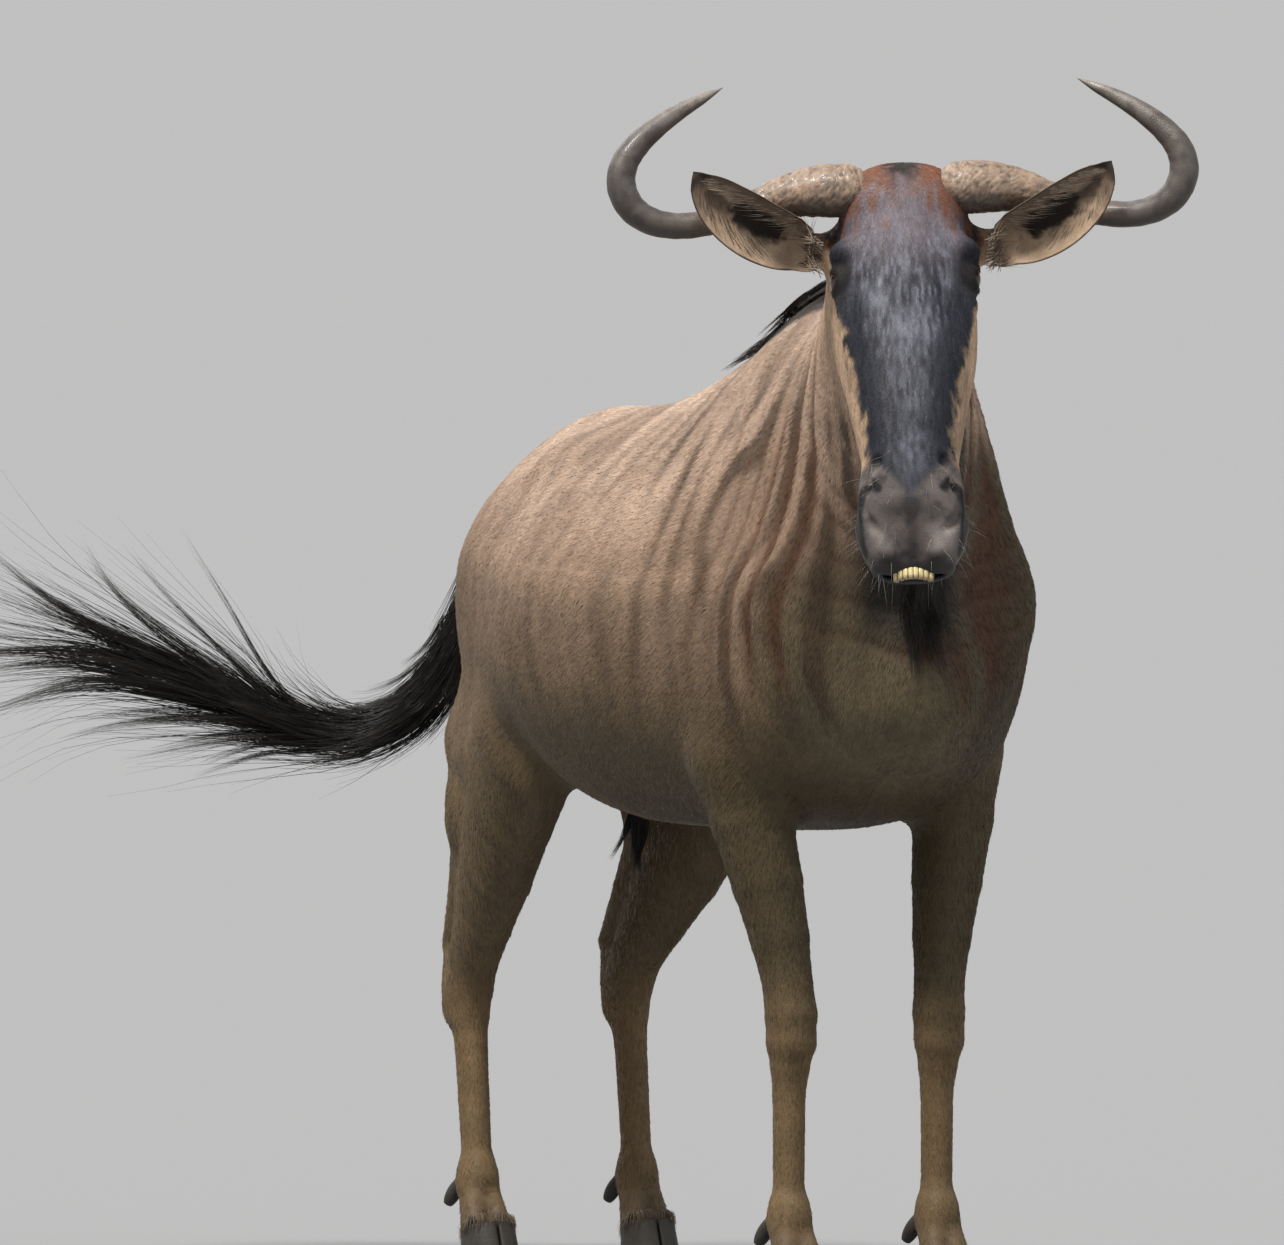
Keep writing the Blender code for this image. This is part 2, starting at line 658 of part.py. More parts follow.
def region(name, planes, reach=3.0):
    """Big box cut down by planes; each plane is a point and the direction that is cut away."""
    bm = bmesh.new()
    bmesh.ops.create_cube(bm, size=2 * reach)
    for point, away in planes:
        geom = list(bm.verts) + list(bm.edges) + list(bm.faces)
        cut = bmesh.ops.bisect_plane(bm, geom=geom, plane_co=Vector(point), plane_no=Vector(away).normalized(),
                                     clear_outer=True, dist=1e-7)
        rim = [e for e in cut["geom_cut"] if isinstance(e, bmesh.types.BMEdge)]
        bmesh.ops.contextual_create(bm, geom=rim)
    bmesh.ops.recalc_face_normals(bm, faces=bm.faces)
    mesh = bpy.data.meshes.new(name)
    bm.to_mesh(mesh)
    bm.free()
    obj = bpy.data.objects.new(name, mesh)
    bpy.context.scene.collection.objects.link(obj)
    return obj


def flesh_piece(name, planes, low, high, step, triangles):
    """Part of the flesh between planes, each drawn in by half the gap."""
    def form(p):
        d = flesh(p)
        for point, away in planes:
            d = np.maximum(d, (p - np.asarray(point)) @ unit(away) - 3 * step)
        return d

    points, faces = surface_of(form, low, high, step)
    points = settled(form, points)
    obj = add_object(name, points, faces)
    thin_out(obj, triangles)
    drawn_in = [(np.asarray(point) - unit(away) * GAP / 2, away) for point, away in planes]
    boolean(obj, region(name + "_region", drawn_in), "INTERSECT")
    tidy(obj)
    return obj


def opposite(plane):
    return plane[0], tuple(-c for c in plane[1])


def tube(name, rings):
    """Closed body through rings of points, a lone point at an end makes a tip."""
    points = []
    starts = []
    for ring in rings:
        starts.append(len(points))
        points.extend(ring)
    faces = []
    for i in range(len(rings) - 1):
        a, b = starts[i], starts[i + 1]
        na, nb = len(rings[i]), len(rings[i + 1])
        for k in range(max(na, nb)):
            j = (k + 1) % max(na, nb)
            if na == 1:
                faces.append((a, b + k, b + j))
            elif nb == 1:
                faces.append((a + k, a + j, b))
            else:
                faces.append((a + k, a + j, b + j))
                faces.append((a + k, b + j, b + k))
    if len(rings[0]) > 1:
        faces.append(tuple(range(len(rings[0])))[::-1])
    if len(rings[-1]) > 1:
        faces.append(tuple(starts[-1] + k for k in range(len(rings[-1]))))
    return add_object(name, points, faces)


# Horns, ears, eyes, teeth

def horn_body(name, side, grow=0.0):
    rows = np.array(HORN)
    line = rows[:, :3] * (side, 1, 1)
    rings = []
    for i, row in enumerate(rows):
        before = line[max(i - 1, 0)]
        after = line[min(i + 1, len(line) - 1)]
        axis = unit(after - before)
        fore = unit(np.array((0, 1, 0)) - axis * axis[1])
        up = np.cross(axis, fore)
        ring = []
        for k in range(HORN_SIDES):
            a = 2 * math.pi * k / HORN_SIDES
            # Low rings and knobs on the boss, fading out along the shaft
            knob = 1 + 0.05 * math.sin(3 * a + 2.3 * i) * max(0.0, 1 - i / 7)
            spot = line[i] + up * math.cos(a) * (row[3] * knob + grow) + fore * math.sin(a) * (row[4] * knob + grow)
            ring.append(from_level(spot))
        rings.append(ring)
    start = unit(line[0] - line[1]) * (0.012 + grow)
    end = unit(line[-1] - line[-2]) * (0.010 + grow)
    rings.insert(0, [from_level(line[0] + start)])
    rings.append([from_level(line[-1] + end)])
    return tube(name, rings)


def ear_body(name, side):
    rows = np.array(EAR)
    line = rows[:, :3] * (side, 1, 1)
    rings = []
    for i, row in enumerate(rows):
        before = line[max(i - 1, 0)]
        after = line[min(i + 1, len(line) - 1)]
        axis = unit(after - before)
        square = max(0.0, 1.0 - i / 3.0)
        axis = unit(axis * (1.0 - square) + np.array((side, 0.0, 0.0)) * square)
        # The cup opens to the front and a little down
        front = np.array((0.0, -1.0, -0.15))
        front = unit(front - axis * front.dot(axis))
        across = np.cross(axis, front)
        opening = min(1.0, i / 2.0)
        half = row[3]
        outer = []
        inner = []
        for k in range(EAR_STEPS_ACROSS + 1):
            a = math.pi * (0.5 + (k / EAR_STEPS_ACROSS - 0.5) * (1.25 - 0.35 * opening))
            x = math.cos(a)
            y = math.sin(a)
            bend = row[4] * (1 - y)
            outer.append(line[i] + across * x * half + front * bend)
            wall = EAR_THICKNESS * (0.75 if 0 < i < len(rows) - 2 else 0.6)
            lift = (row[4] + half) * 0.9 * (1 - opening) + wall * (1.0 if opening == 1 else 2.0)
            inner.append(line[i] + across * x * (half - wall * 0.6) + front * (bend + lift))
        ring = outer + inner[::-1]
        rings.append([from_level(s) for s in ring])
    tip = line[-1] + (line[-1] - line[-2]) * 0.7
    rings.append([from_level(tip)])
    return tube(name, rings)


def eye_body(name, side, grow=0.0):
    rings = []
    centre = np.array(EYE_PLACE) * (side, 1, 1)
    r = EYE_RADIUS + grow
    for i in range(1, 8):
        a = math.pi * i / 8
        ring = []
        for k in range(12):
            b = 2 * math.pi * k / 12
            ring.append(centre + r * np.array((side * math.cos(a), math.sin(a) * math.cos(b), math.sin(a) * math.sin(b))))
        rings.append([from_head(s) for s in ring])
    rings.insert(0, [from_head(centre + (side * r, 0, 0))])
    rings.append([from_head(centre - (side * r, 0, 0))])
    return tube(name, rings)


def teeth_body(name, grow=0.0):
    """Lower front teeth as one low curved row."""
    top = -0.497
    rings = []
    count = 9
    for k in range(count):
        t = 2 * k / (count - 1) - 1
        x = 0.0235 * t * (1 + grow / 0.0235)
        front = 0.0435 + 0.012 * t * t - grow
        back = front + 0.0085 + 2 * grow
        notch = 0.0007 if k % 2 else 0.0
        low = -0.5235 - grow
        high = -0.5075 + grow
        ring = [(x, front + notch, high), (x, back, high), (x, back, low), (x, front + notch, low)]
        rings.append([from_head(s) for s in ring])
    return tube(name, rings)


# Hooves

def claw_outline(length, width, side):
    """Half-moon with the flat side to the cleft, toe to -Y."""
    outline = []
    for k in range(7):
        a = math.pi * k / 6
        x = math.sin(a) ** 0.8 * width
        y = -math.cos(a) * length / 2
        outline.append((side * x, y))
    return outline


def claw_body(name, x, y, side):
    rings = []
    for z, length, width, shift in ((0.0, CLAW_LENGTH, CLAW_WIDTH, -0.014), (0.012, CLAW_LENGTH, CLAW_WIDTH, -0.0125),
                                    (CORONET, CLAW_TOP_LENGTH, CLAW_TOP_WIDTH, 0.0)):
        ring = []
        for px, py in claw_outline(length, width, side):
            lift = z
            if z == CORONET:
                lift = z - (py + shift) * CORONET_SLOPE - GAP
            ring.append((x + side * CLAW_GAP / 2 + px, y + py + shift, lift))
        rings.append(ring)
    return tube(name, rings)


def dewclaw_body(name, x, y, side, grow=0.0):
    centre = np.array((x + side * 0.017, y + 0.030, 0.112))
    axis = unit((side * 0.25, 0.55, -0.80))
    fore = unit(np.cross(axis, (1, 0, 0)))
    across = np.cross(axis, fore)
    rings = []
    for along, r in ((-0.012 - grow, 0.0085 + grow), (0.006, 0.0120 + grow), (0.024, 0.0085 + grow), (0.033 + grow, 0.0035 + grow)):
        ring = []
        for k in range(7):
            a = 2 * math.pi * k / 7
            ring.append(centre + axis * along + across * math.cos(a) * r + fore * math.sin(a) * r)
        rings.append(ring)
    return tube(name, rings)


# Strips that carry the hair

def strip_body(name, line, half, under, over, grow=0.0):
    """Bar along a line on the skin, from under it to over it."""
    spots, outs = line
    count = len(spots)
    rings = []
    for i in range(count):
        axis = unit(spots[min(i + 1, count - 1)] - spots[max(i - 1, 0)])
        out = unit(outs[i] - axis * axis.dot(outs[i]))
        across = np.cross(axis, out)
        spot = spots[i]
        if i == 0:
            spot = spot - axis * grow
        if i == count - 1:
            spot = spot + axis * grow
        rise = over[i] if isinstance(over, tuple) else over
        low = spot - out * (under + grow)
        mid = spot + out * 0.001
        high = spot + out * (rise + grow)
        rings.append([low - across * (half * 0.7 + grow), mid - across * (half + grow),
                      high - across * (half * 0.35 + grow), high + across * (half * 0.35 + grow),
                      mid + across * (half + grow), low + across * (half * 0.7 + grow)])
    return tube(name, rings)


def tail_line(at):
    """Places and radii along the tail."""
    rows = np.array(TAIL)
    t = np.arange(len(rows), dtype=float)
    cols = [curve(t, rows[:, c], np.asarray(at, float)) for c in range(4)]
    return np.stack(cols[:3], -1), cols[3]


def tail_body(name, first, last, steps, widths, sides=8, grow=0.0):
    """Rod along the tail; widths are pairs that scale its radius across and up at first and last."""
    at = np.linspace(first, last, steps + 1)
    line, radius = tail_line(at)
    run = tail_line(at + 0.05)[0] - tail_line(at - 0.05)[0]
    rings = []
    for i in range(len(line)):
        axis = unit(run[i])
        across = unit(np.cross(axis, (0.35, 0.9, 0.1) if at[i] > 3 else (0.2, 0.1, 1.0)))
        up = np.cross(across, axis)
        t = i / steps
        w = (widths[0][0] * (1 - t) + widths[1][0] * t) * radius[i] + grow
        h = (widths[0][1] * (1 - t) + widths[1][1] * t) * radius[i] + grow
        turns = [2 * math.pi * k / sides for k in range(sides)]
        rings.append([line[i] + across * math.cos(a) * w + up * math.sin(a) * h for a in turns])
    return tube(name, rings)


def on_skin(inner, outer):
    """Places where lines from inside to outside leave the flesh, with the directions straight out."""
    a = np.array(inner, float)
    b = np.array(outer, float)
    for _ in range(22):
        mid = (a + b) / 2
        inside = flesh(mid) < 0
        a[inside] = mid[inside]
        b[~inside] = mid[~inside]
    out = gradient(flesh, a)[1]
    return a, out / np.linalg.norm(out, axis=1, keepdims=True)


def crest_line():
    inner = np.array([(x, y, 1.05) for x, y in CREST])
    outer = np.array([(x, y, 1.60) for x, y in CREST])
    return on_skin(inner, outer)


def throat_line():
    return on_skin([pair[0] for pair in THROAT], [pair[1] for pair in THROAT])


def head_line(pairs):
    inner = [from_head(pair[0]) for pair in pairs]
    outer = [from_head(pair[1]) for pair in pairs]
    return on_skin(inner, outer)


def sheath_line():
    return on_skin([pair[0] for pair in SHEATH], [pair[1] for pair in SHEATH])


# Locks of hair

def keep_off(path, side, width, room):
    """The path's points past the root, moved out until the lock's edges clear the skin and the horns."""
    def form(p):
        return np.minimum(flesh(p), horn(p))

    path = path.copy()
    for _ in range(4):
        free = path[1:]
        edges = np.minimum(form(free - side * width / 2), form(free + side * width / 2))
        base, g = gradient(form, free)
        short = np.maximum(room - np.minimum(base, edges), 0.0)
        path[1:] = free + g / np.maximum(np.linalg.norm(g, axis=1, keepdims=True), 0.2) * short[:, None]
    return path


def lock_path(root, out, heading, length, sink, droop, bend, room):
    """From under the root out through it, then along the lie, drooping and bending to one side."""
    steps = 4
    path = [root - out * sink, root + out * room * 0.8]
    spot = path[1]
    way = unit(heading)
    side = unit(np.cross(way, out) + 1e-6)
    for k in range(steps):
        way = unit(way + np.array((0.0, 0.0, -droop)) / steps + side * bend / steps)
        spot = spot + way * length / steps
        path.append(spot)
    return np.array(path)


def lock_body(path, side, width, thick):
    """Tapered lock, flat underneath with a low ridge on top, that ends in a point."""
    rings = []
    last = len(path) - 1
    for i in range(last):
        axis = unit(path[min(i + 1, last)] - path[max(i - 1, 0)])
        across = unit(side - axis * axis.dot(side))
        face = np.cross(across, axis)
        t = i / last
        w = width * (0.62 + 0.38 * math.sin(math.pi * min(1.0, 1.6 * t))) * (1.0 - 0.55 * t * t) / 2
        if i == 0:
            w *= 0.45
        h = thick * (1.0 - 0.4 * t)
        rings.append([path[i] - across * w, path[i] + across * w, path[i] + face * h])
    rings.append([path[last]])
    return tube("lock", rings)


def fuse(core, locks):
    """The locks made one closed body with their core."""
    group = bpy.data.collections.new("locks")
    bpy.context.scene.collection.children.link(group)
    for lock in locks:
        bpy.context.scene.collection.objects.unlink(lock)
        group.objects.link(lock)
    mod = core.modifiers.new("locks", "BOOLEAN")
    mod.operation = "UNION"
    mod.solver = "EXACT"
    mod.operand_type = "COLLECTION"
    mod.collection = group
    mod.use_self = True
    bake(core)
    for lock in locks:
        discard(lock)
    bpy.data.collections.remove(group)
    tidy(core)


def along(line, t):
    """Place, outward direction and running direction at a part t of the way along a root line."""
    spots, outs = line
    at = np.arange(len(spots), dtype=float)
    x = t * (len(spots) - 1)
    spot = np.array([curve(at, spots[:, c], np.array([x]))[0] for c in range(3)])
    out = unit([np.interp(x, at, outs[:, c]) for c in range(3)])
    i = int(min(x, len(spots) - 2))
    return spot, out, unit(spots[i + 1] - spots[i])


def hair_node(name, line, strip, hosts, sizes, seed, lie):
    """Strip let into its hosts, with locks in a loop along it; lie turns a place and chance into a heading."""
    half, under, over = strip
    core = hair_strip(name, line, half, under, over, hosts)
    count, short, long, width, thick, room = sizes
    spread = half - 0.33 * width - 0.0015
    reach = np.linalg.norm(np.diff(line[0], axis=0), axis=1).sum()
    edge = (0.5 * width + 0.003) / reach
    rng = np.random.default_rng(seed)
    locks = []
    for k in range(count):
        t = (k + 0.5 + rng.uniform(-0.35, 0.35)) / count
        spot, out, run = along(line, min(max(t, edge), 1.0 - edge))
        across = np.cross(run, out)
        aside = rng.uniform(-1.0, 1.0)
        heading, droop, scale = lie(t, aside, run, out, across, rng)
        length = rng.uniform(short, long) * scale
        root = settled(flesh, (spot + across * aside * spread)[None])
        out = unit(gradient(flesh, root)[1][0])
        root = root[0]
        side = unit(np.cross(unit(heading), out + across * aside * 0.3))
        path = lock_path(root, out, heading, length, under * 0.6, droop, rng.uniform(-0.5, 0.5), room)
        path = keep_off(path, side, width, room)
        locks.append(lock_body(path, side, width * rng.uniform(0.8, 1.0), thick))
    fuse(core, locks)
    return core


def mane_lie(t, aside, run, out, across, rng):
    """Back along the crest, most of it over to the left side."""
    left = rng.uniform(0.35, 0.9) if rng.random() < 0.75 else -rng.uniform(0.10, 0.30)
    heading = run * 0.85 + out * (0.32 - 0.14 * t) + np.array((left, 0.0, 0.0)) * (1.0 - 0.6 * t)
    return heading, 0.9 * abs(left), (1.0 if left > 0 else 0.8) * (1.0 - 0.3 * t * t)


def throat_lie(t, aside, run, out, across, rng):
    heading = np.array((0.0, 0.0, -1.0)) + out * 0.40 + across * aside * 0.22
    return heading, 0.6, 1.0 - 0.35 * t


def beard_lie(t, aside, run, out, across, rng):
    heading = np.array((0.0, 0.0, -0.8)) + out * 0.6 + across * aside * 0.25
    return heading, 0.7, 0.75 + 0.35 * t


def sheath_lie(t, aside, run, out, across, rng):
    return np.array((0.0, 0.15, -1.0)) + across * aside * 0.3, 0.2, 1.0


def tail_hair(name, first, last, sizes, seed, fan, core_widths):
    """Rod of the tail with locks streaming along it, fanned up and down."""
    core = tail_body(name, first, last, int((last - first) * 2), core_widths)
    count, short, long, width, thick, room = sizes
    rng = np.random.default_rng(seed)
    locks = []
    for k in range(count):
        t = first + 0.12 + (last - first - 0.5) * ((k + 0.5) / count) ** 1.1
        (spot,), (radius,) = tail_line([t])
        run = unit(tail_line([t + 0.05])[0][0] - tail_line([t - 0.05])[0][0])
        a = 2.4 * k + rng.uniform(-0.4, 0.4)
        across = unit(np.cross(run, (0.35, 0.9, 0.1)))
        depth = np.cross(across, run)
        out = across * math.cos(a) + depth * math.sin(a)
        length = rng.uniform(short, long)
        steps = 4
        path = [spot - run * radius * 0.4 + out * radius * 0.25, spot + run * radius * 1.2 + out * radius * 1.15]
        lean = fan * math.cos(a) + 0.10 * rng.uniform(-1, 1)
        deep = 0.35 * fan * math.sin(a)
        for j in range(1, steps + 1):
            u = j / steps
            # Follow the tail's own line, opening out towards the tips
            ahead = t + length * u / 0.155
            (mid,), _ = tail_line([min(ahead, len(TAIL) - 1.0)])
            extra = max(0.0, ahead - (len(TAIL) - 1.0)) * 0.155
            end_run = unit(np.array(TAIL[-1][:3]) - np.array(TAIL[-2][:3]))
            gap = radius * 1.15 + 0.004
            path.append(mid + end_run * extra + across * (math.cos(a) * gap + lean * length * u * u)
                        + depth * (math.sin(a) * gap + deep * length * u * u))
        path = keep_off(np.array(path), unit(np.cross(run, out)), width, room)
        locks.append(lock_body(path, np.cross(run, out), width * rng.uniform(0.8, 1.15), thick))
    fuse(core, locks)
    return core


# Materials

def material(name, colour, roughness):
    mat = bpy.data.materials.new(name)
    mat.use_nodes = True
    shader = mat.node_tree.nodes["Principled BSDF"]
    shader.inputs["Base Color"].default_value = (*colour, 1.0)
    shader.inputs["Roughness"].default_value = roughness
    mat.diffuse_color = (*colour, 1.0)
    return mat


HEAD_CUT = (from_level((0.0, 0.116, 0.0)), tuple(LEVEL_AXES[:, 1] * (1, 1, 0)))
NECK_CUT = ((0.0, -0.100, 1.100), (0.0, -0.93, 0.364))


def build_torso():
    planes = [NECK_CUT, ((0, 0, LEG_CUT), (0, 0, -1))]
    return flesh_piece("torso", planes, (-0.32, -0.40, 0.52), (0.32, 1.28, 1.36), 0.0125, 1900)


def build_neck():
    planes = [opposite(NECK_CUT), opposite(HEAD_CUT)]
    return flesh_piece("neck", planes, (-0.32, -0.46, 0.72), (0.30, 0.12, 1.44), 0.0115, 680)


def build_head():
    ear_l = (from_level((EAR_CUT, 0, 0)), tuple(LEVEL_AXES[:, 0]))
    ear_r = (from_level((-EAR_CUT, 0, 0)), tuple(-LEVEL_AXES[:, 0]))
    planes = [HEAD_CUT, ear_l, ear_r]
    obj = flesh_piece("head", planes, (-0.36, -0.74, 0.88), (0.08, -0.22, 1.48), 0.0032, 1650)
    return obj


def build_leg(name, side, hind):
    y = HIND_Y if hind else FORE_Y
    x = side * (HOCK_X if hind else KNEE_X[side])
    toe_y = y - 0.036
    planes = [((0, 0, LEG_CUT), (0, 0, 1)), ((x, toe_y, CORONET), (0, -CORONET_SLOPE, -1.0))]
    middle = ((0.0, 0.0, 0.0), (-side, 0.0, 0.0))
    halves = ((0.0, 0.5, 0.0), (0.0, -1.0 if hind else 1.0, 0.0))
    low = (min(side * 0.01, side * 0.26), y - 0.44 if hind else -0.14, 0.02)
    high = (max(side * 0.01, side * 0.26), y + 0.16 if hind else 0.20, 0.64)
    return flesh_piece(name, planes + [middle, halves], low, high, 0.0065, 400)


def hair_strip(name, line, half, under, over, hosts):
    """Strip for a node of hair, let into the nodes that it grows from."""
    for host in hosts:
        boolean(host, strip_body("channel", line, half, under, over, GAP), "DIFFERENCE")
    return strip_body(name, line, half, under, over)


def main():
    for obj in list(bpy.data.objects):
        bpy.data.objects.remove(obj)
    torso = build_torso()
    neck_obj = build_neck()
    head_obj = build_head()
    nodes = [torso, neck_obj, head_obj]
    for side, word in ((1, "left"), (-1, "right")):
        nodes.append(horn_body("horn_" + word, side))
        boolean(head_obj, horn_body("horn_socket", side, GAP), "DIFFERENCE")
        nodes.append(eye_body("eye_" + word, side))
        boolean(head_obj, eye_body("eye_socket", side, GAP), "DIFFERENCE")
        nodes.append(ear_body("ear_" + word, side))
        for hind, place in ((False, "front"), (True, "hind")):
            leg = build_leg("leg_%s_%s" % (place, word), side, hind)
            nodes.append(leg)
            x = side * (HOCK_X if hind else KNEE_X[side])
            y = HIND_Y if hind else FORE_Y
            for s, toe in ((-1, "inner" if side > 0 else "outer"), (1, "outer" if side > 0 else "inner")):
                nodes.append(claw_body("hoof_%s_%s_%s" % (place, word, toe), x, y - 0.036, s))
                nodes.append(dewclaw_body("dewclaw_%s_%s_%s" % (place, word, toe), x, y, s))
                boolean(leg, dewclaw_body("dewclaw_socket", x, y, s, GAP), "DIFFERENCE")
            tidy(leg)
    nodes.append(teeth_body("lower_teeth"))
    boolean(head_obj, teeth_body("teeth_socket", GAP), "DIFFERENCE")

    ridge = (0.010, 0.013, 0.014, 0.014, 0.012, 0.011, 0.009, 0.008, 0.005)
    hosts = (torso, neck_obj)
    nodes.append(hair_node("mane", crest_line(), (0.017, 0.018, ridge), hosts, MANE_LOCKS, 5, mane_lie))
    hosts = (neck_obj,)
    nodes.append(hair_node("throat_mane", throat_line(), (0.024, 0.018, 0.010), hosts, THROAT_LOCKS, 11, throat_lie))
    hosts = (head_obj,)
    nodes.append(hair_node("beard", head_line(JAW_LINE), (0.017, 0.013, 0.006), hosts, BEARD_LOCKS, 17, beard_lie))
    nodes.append(hair_strip("forelock", head_line(POLL_LINE), 0.026, 0.010, 0.006, hosts))
    hosts = (torso,)
    nodes.append(hair_node("sheath_tuft", sheath_line(), (0.012, 0.012, 0.006), hosts, SHEATH_LOCKS, 29, sheath_lie))
    nodes.append(tail_body("tail_dock", 0.0, DOCK_END, 5, ((1, 1), (1, 1))))
    boolean(torso, tail_body("dock_socket", 0.0, DOCK_END, 5, ((1, 1), (1, 1)), grow=GAP), "DIFFERENCE")
    nodes.append(tail_hair("tail_hair_upper", DOCK_END + 0.006, TAIL_SPLIT, TAIL_UPPER_LOCKS, 31, 0.10,
                           ((1.0, 1.0), (1.0, 1.0))))
    nodes.append(tail_hair("tail_hair_lower", TAIL_SPLIT + 0.006, 8.0, TAIL_LOWER_LOCKS, 37, 0.42,
                           ((1.0, 1.0), (0.8, 0.8))))
    for obj in (torso, neck_obj, head_obj):
        tidy(obj)
    paint(nodes)
    centre(nodes)


def paint(nodes):
    """Each node gets a material of its own."""
    looks = (
        ("horn", (0.22, 0.18, 0.15), 0.4), ("eye", (0.01, 0.008, 0.006), 0.1), ("ear", (0.14, 0.10, 0.08), 0.9),
        ("hoof", (0.03, 0.028, 0.026), 0.5), ("dewclaw", (0.03, 0.028, 0.026), 0.5),
        ("leg", (0.12, 0.08, 0.05), 0.9), ("torso", (0.27, 0.19, 0.13), 0.9), ("neck", (0.25, 0.17, 0.12), 0.9),
        ("head", (0.06, 0.06, 0.07), 0.8), ("lower_teeth", (0.75, 0.65, 0.42), 0.4),
        ("mane", (0.02, 0.017, 0.015), 0.8), ("throat_mane", (0.02, 0.017, 0.015), 0.8),
        ("beard", (0.02, 0.017, 0.015), 0.8), ("forelock", (0.18, 0.09, 0.05), 0.85),
        ("sheath_tuft", (0.02, 0.017, 0.015), 0.8), ("tail", (0.02, 0.017, 0.015), 0.8),
    )
    for obj in nodes:
        for start, colour, roughness in looks:
            if obj.name.startswith(start):
                obj.data.materials.clear()
                obj.data.materials.append(material(obj.name + "_material", colour, roughness))


def centre(nodes):
    """The origin put at the middle of the bottom of the box."""
    low = np.min([np.min([v.co for v in obj.data.vertices], axis=0) for obj in nodes], axis=0)
    high = np.max([np.max([v.co for v in obj.data.vertices], axis=0) for obj in nodes], axis=0)
    shift = Vector((-(low[0] + high[0]) / 2, -(low[1] + high[1]) / 2, -low[2]))
    for obj in nodes:
        for vert in obj.data.vertices:
            vert.co += shift
    print("shift", tuple(round(c, 5) for c in shift), "size", tuple(high - low))


main()
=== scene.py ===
import math

import bpy
import numpy as np
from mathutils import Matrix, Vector


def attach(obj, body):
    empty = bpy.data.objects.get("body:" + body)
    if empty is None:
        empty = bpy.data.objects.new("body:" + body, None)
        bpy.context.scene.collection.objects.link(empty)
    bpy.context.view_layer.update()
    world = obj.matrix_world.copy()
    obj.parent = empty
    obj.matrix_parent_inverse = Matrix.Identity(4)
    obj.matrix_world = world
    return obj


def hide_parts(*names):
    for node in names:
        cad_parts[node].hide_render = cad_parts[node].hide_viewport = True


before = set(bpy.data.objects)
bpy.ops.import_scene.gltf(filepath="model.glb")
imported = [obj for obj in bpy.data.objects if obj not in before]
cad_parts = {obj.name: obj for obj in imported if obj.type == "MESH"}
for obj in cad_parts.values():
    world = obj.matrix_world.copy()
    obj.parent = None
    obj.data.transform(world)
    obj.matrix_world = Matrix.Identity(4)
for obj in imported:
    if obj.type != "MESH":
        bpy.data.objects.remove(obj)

# Looks of the blue wildebeest bull. Its forms are the same as the solids',
# in the body's axes: metres, +Z up, facing -Y.

# From the body's axes to the frame
SHIFT = np.array((0.21761, -0.4682, 0.0))

# Camera in the body's axes, its level line, its turn to the left and down from that line, and its lens
CAMERA_PLACE = (-7.970, -18.778, 1.25)
CAMERA_LINE = (0.3907, 0.9205)
CAMERA_LEFT = 0.762
CAMERA_DOWN = 1.0816
CAMERA_LENS = 459.6

# Floor and light
FLOOR_HALF = 3000.0
WORLD_COLOUR = (0.530, 0.530, 0.528)
LAMPS = (
    ("key", (0.52, 0.30, -1.0), 4.4, 14.0, (1.0, 0.96, 0.90)),
    ("fill", (-0.55, 0.75, -0.55), 0.45, 50.0, (0.92, 0.96, 1.0)),
    ("rim", (0.2, -0.9, -0.7), 0.8, 40.0, (1.0, 1.0, 1.0)),
)

# Lines of the nostril and the mouth on the left side, in the head's axes, and how wide they are cut
NOSTRIL = (
    (0.041, 0.006, -0.386),
    (0.058, 0.022, -0.400),
    (0.0615, 0.030, -0.425),
    (0.058, 0.026, -0.452),
    (0.043, 0.016, -0.474),
)
MOUTH = (
    (0.0, 0.060, -0.520),
    (0.030, 0.066, -0.508),
    (0.058, 0.080, -0.470),
    (0.067, 0.093, -0.425),
)
NOSTRIL_RADIUS = 0.0070
MOUTH_RADIUS = 0.0052

# Shadow of the nostril on the left side as seen from the front, and the shadow before the eye
NOSTRIL_SHADE = (
    (0.0400, 0.0, -0.421),
    (0.0460, 0.0, -0.412),
    (0.0530, 0.0, -0.409),
    (0.0600, 0.0, -0.416),
    (0.0640, 0.0, -0.440),
    (0.0640, 0.0, -0.470),
    (0.0600, 0.0, -0.490),
)
EYE_SHADE = (0.080, 0.034, -0.131)

# Skin and coat
SEAM_Y = -0.275
HEAD_STEP = 0.0036
BODY_STEP = 0.0085
TUFTS_BODY = 50000.0
TUFTS_LEG = 65000.0
TUFTS_HEAD = 210000.0
TUFTS_IN_PIECE = 49000
NOSE_TOP = -0.402
HAIR_PATCH = 0.003
HORN_RINGS = 220
HORN_ROUND = 72
EAR_RINGS = 60
EAR_ROUND = 36
EAR_HAIRS = 900
TAIL_STEP = 0.155
STREAM_HAIRS = 950
CORONET_HAIRS = 130
WHISKERS = 110

# Colours
TAN = np.array((0.262, 0.176, 0.122))
# Paler tan of the back and darker browns low down and under the belly, each partly painted light from above
# and painted shade below
TAN_LIT_TOP = np.array((0.440, 0.318, 0.240))
BROWN_AND_LOW_SHADE = np.array((0.092, 0.062, 0.030))
BELLY_AND_SHADE = np.array((0.055, 0.040, 0.019))
# Paler tan of the upper neck, partly painted light from above
NECK_TAN_LIT = np.array((0.430, 0.292, 0.205))
CHEST = np.array((0.125, 0.096, 0.055))
# Painted shade: the chest's colour darkened on its far side
CHEST_SHADED = CHEST * 0.42
# Duller thigh, partly painted shade
THIGH_AND_SHADE = np.array((0.150, 0.102, 0.060))
FORE_LEG = np.array((0.064, 0.046, 0.022))
HIND_LEG = np.array((0.100, 0.068, 0.034))
SHANK = np.array((0.160, 0.104, 0.050))
HOOF_HAIR = np.array((0.090, 0.066, 0.042))
STRIPE = np.array((0.058, 0.036, 0.020))
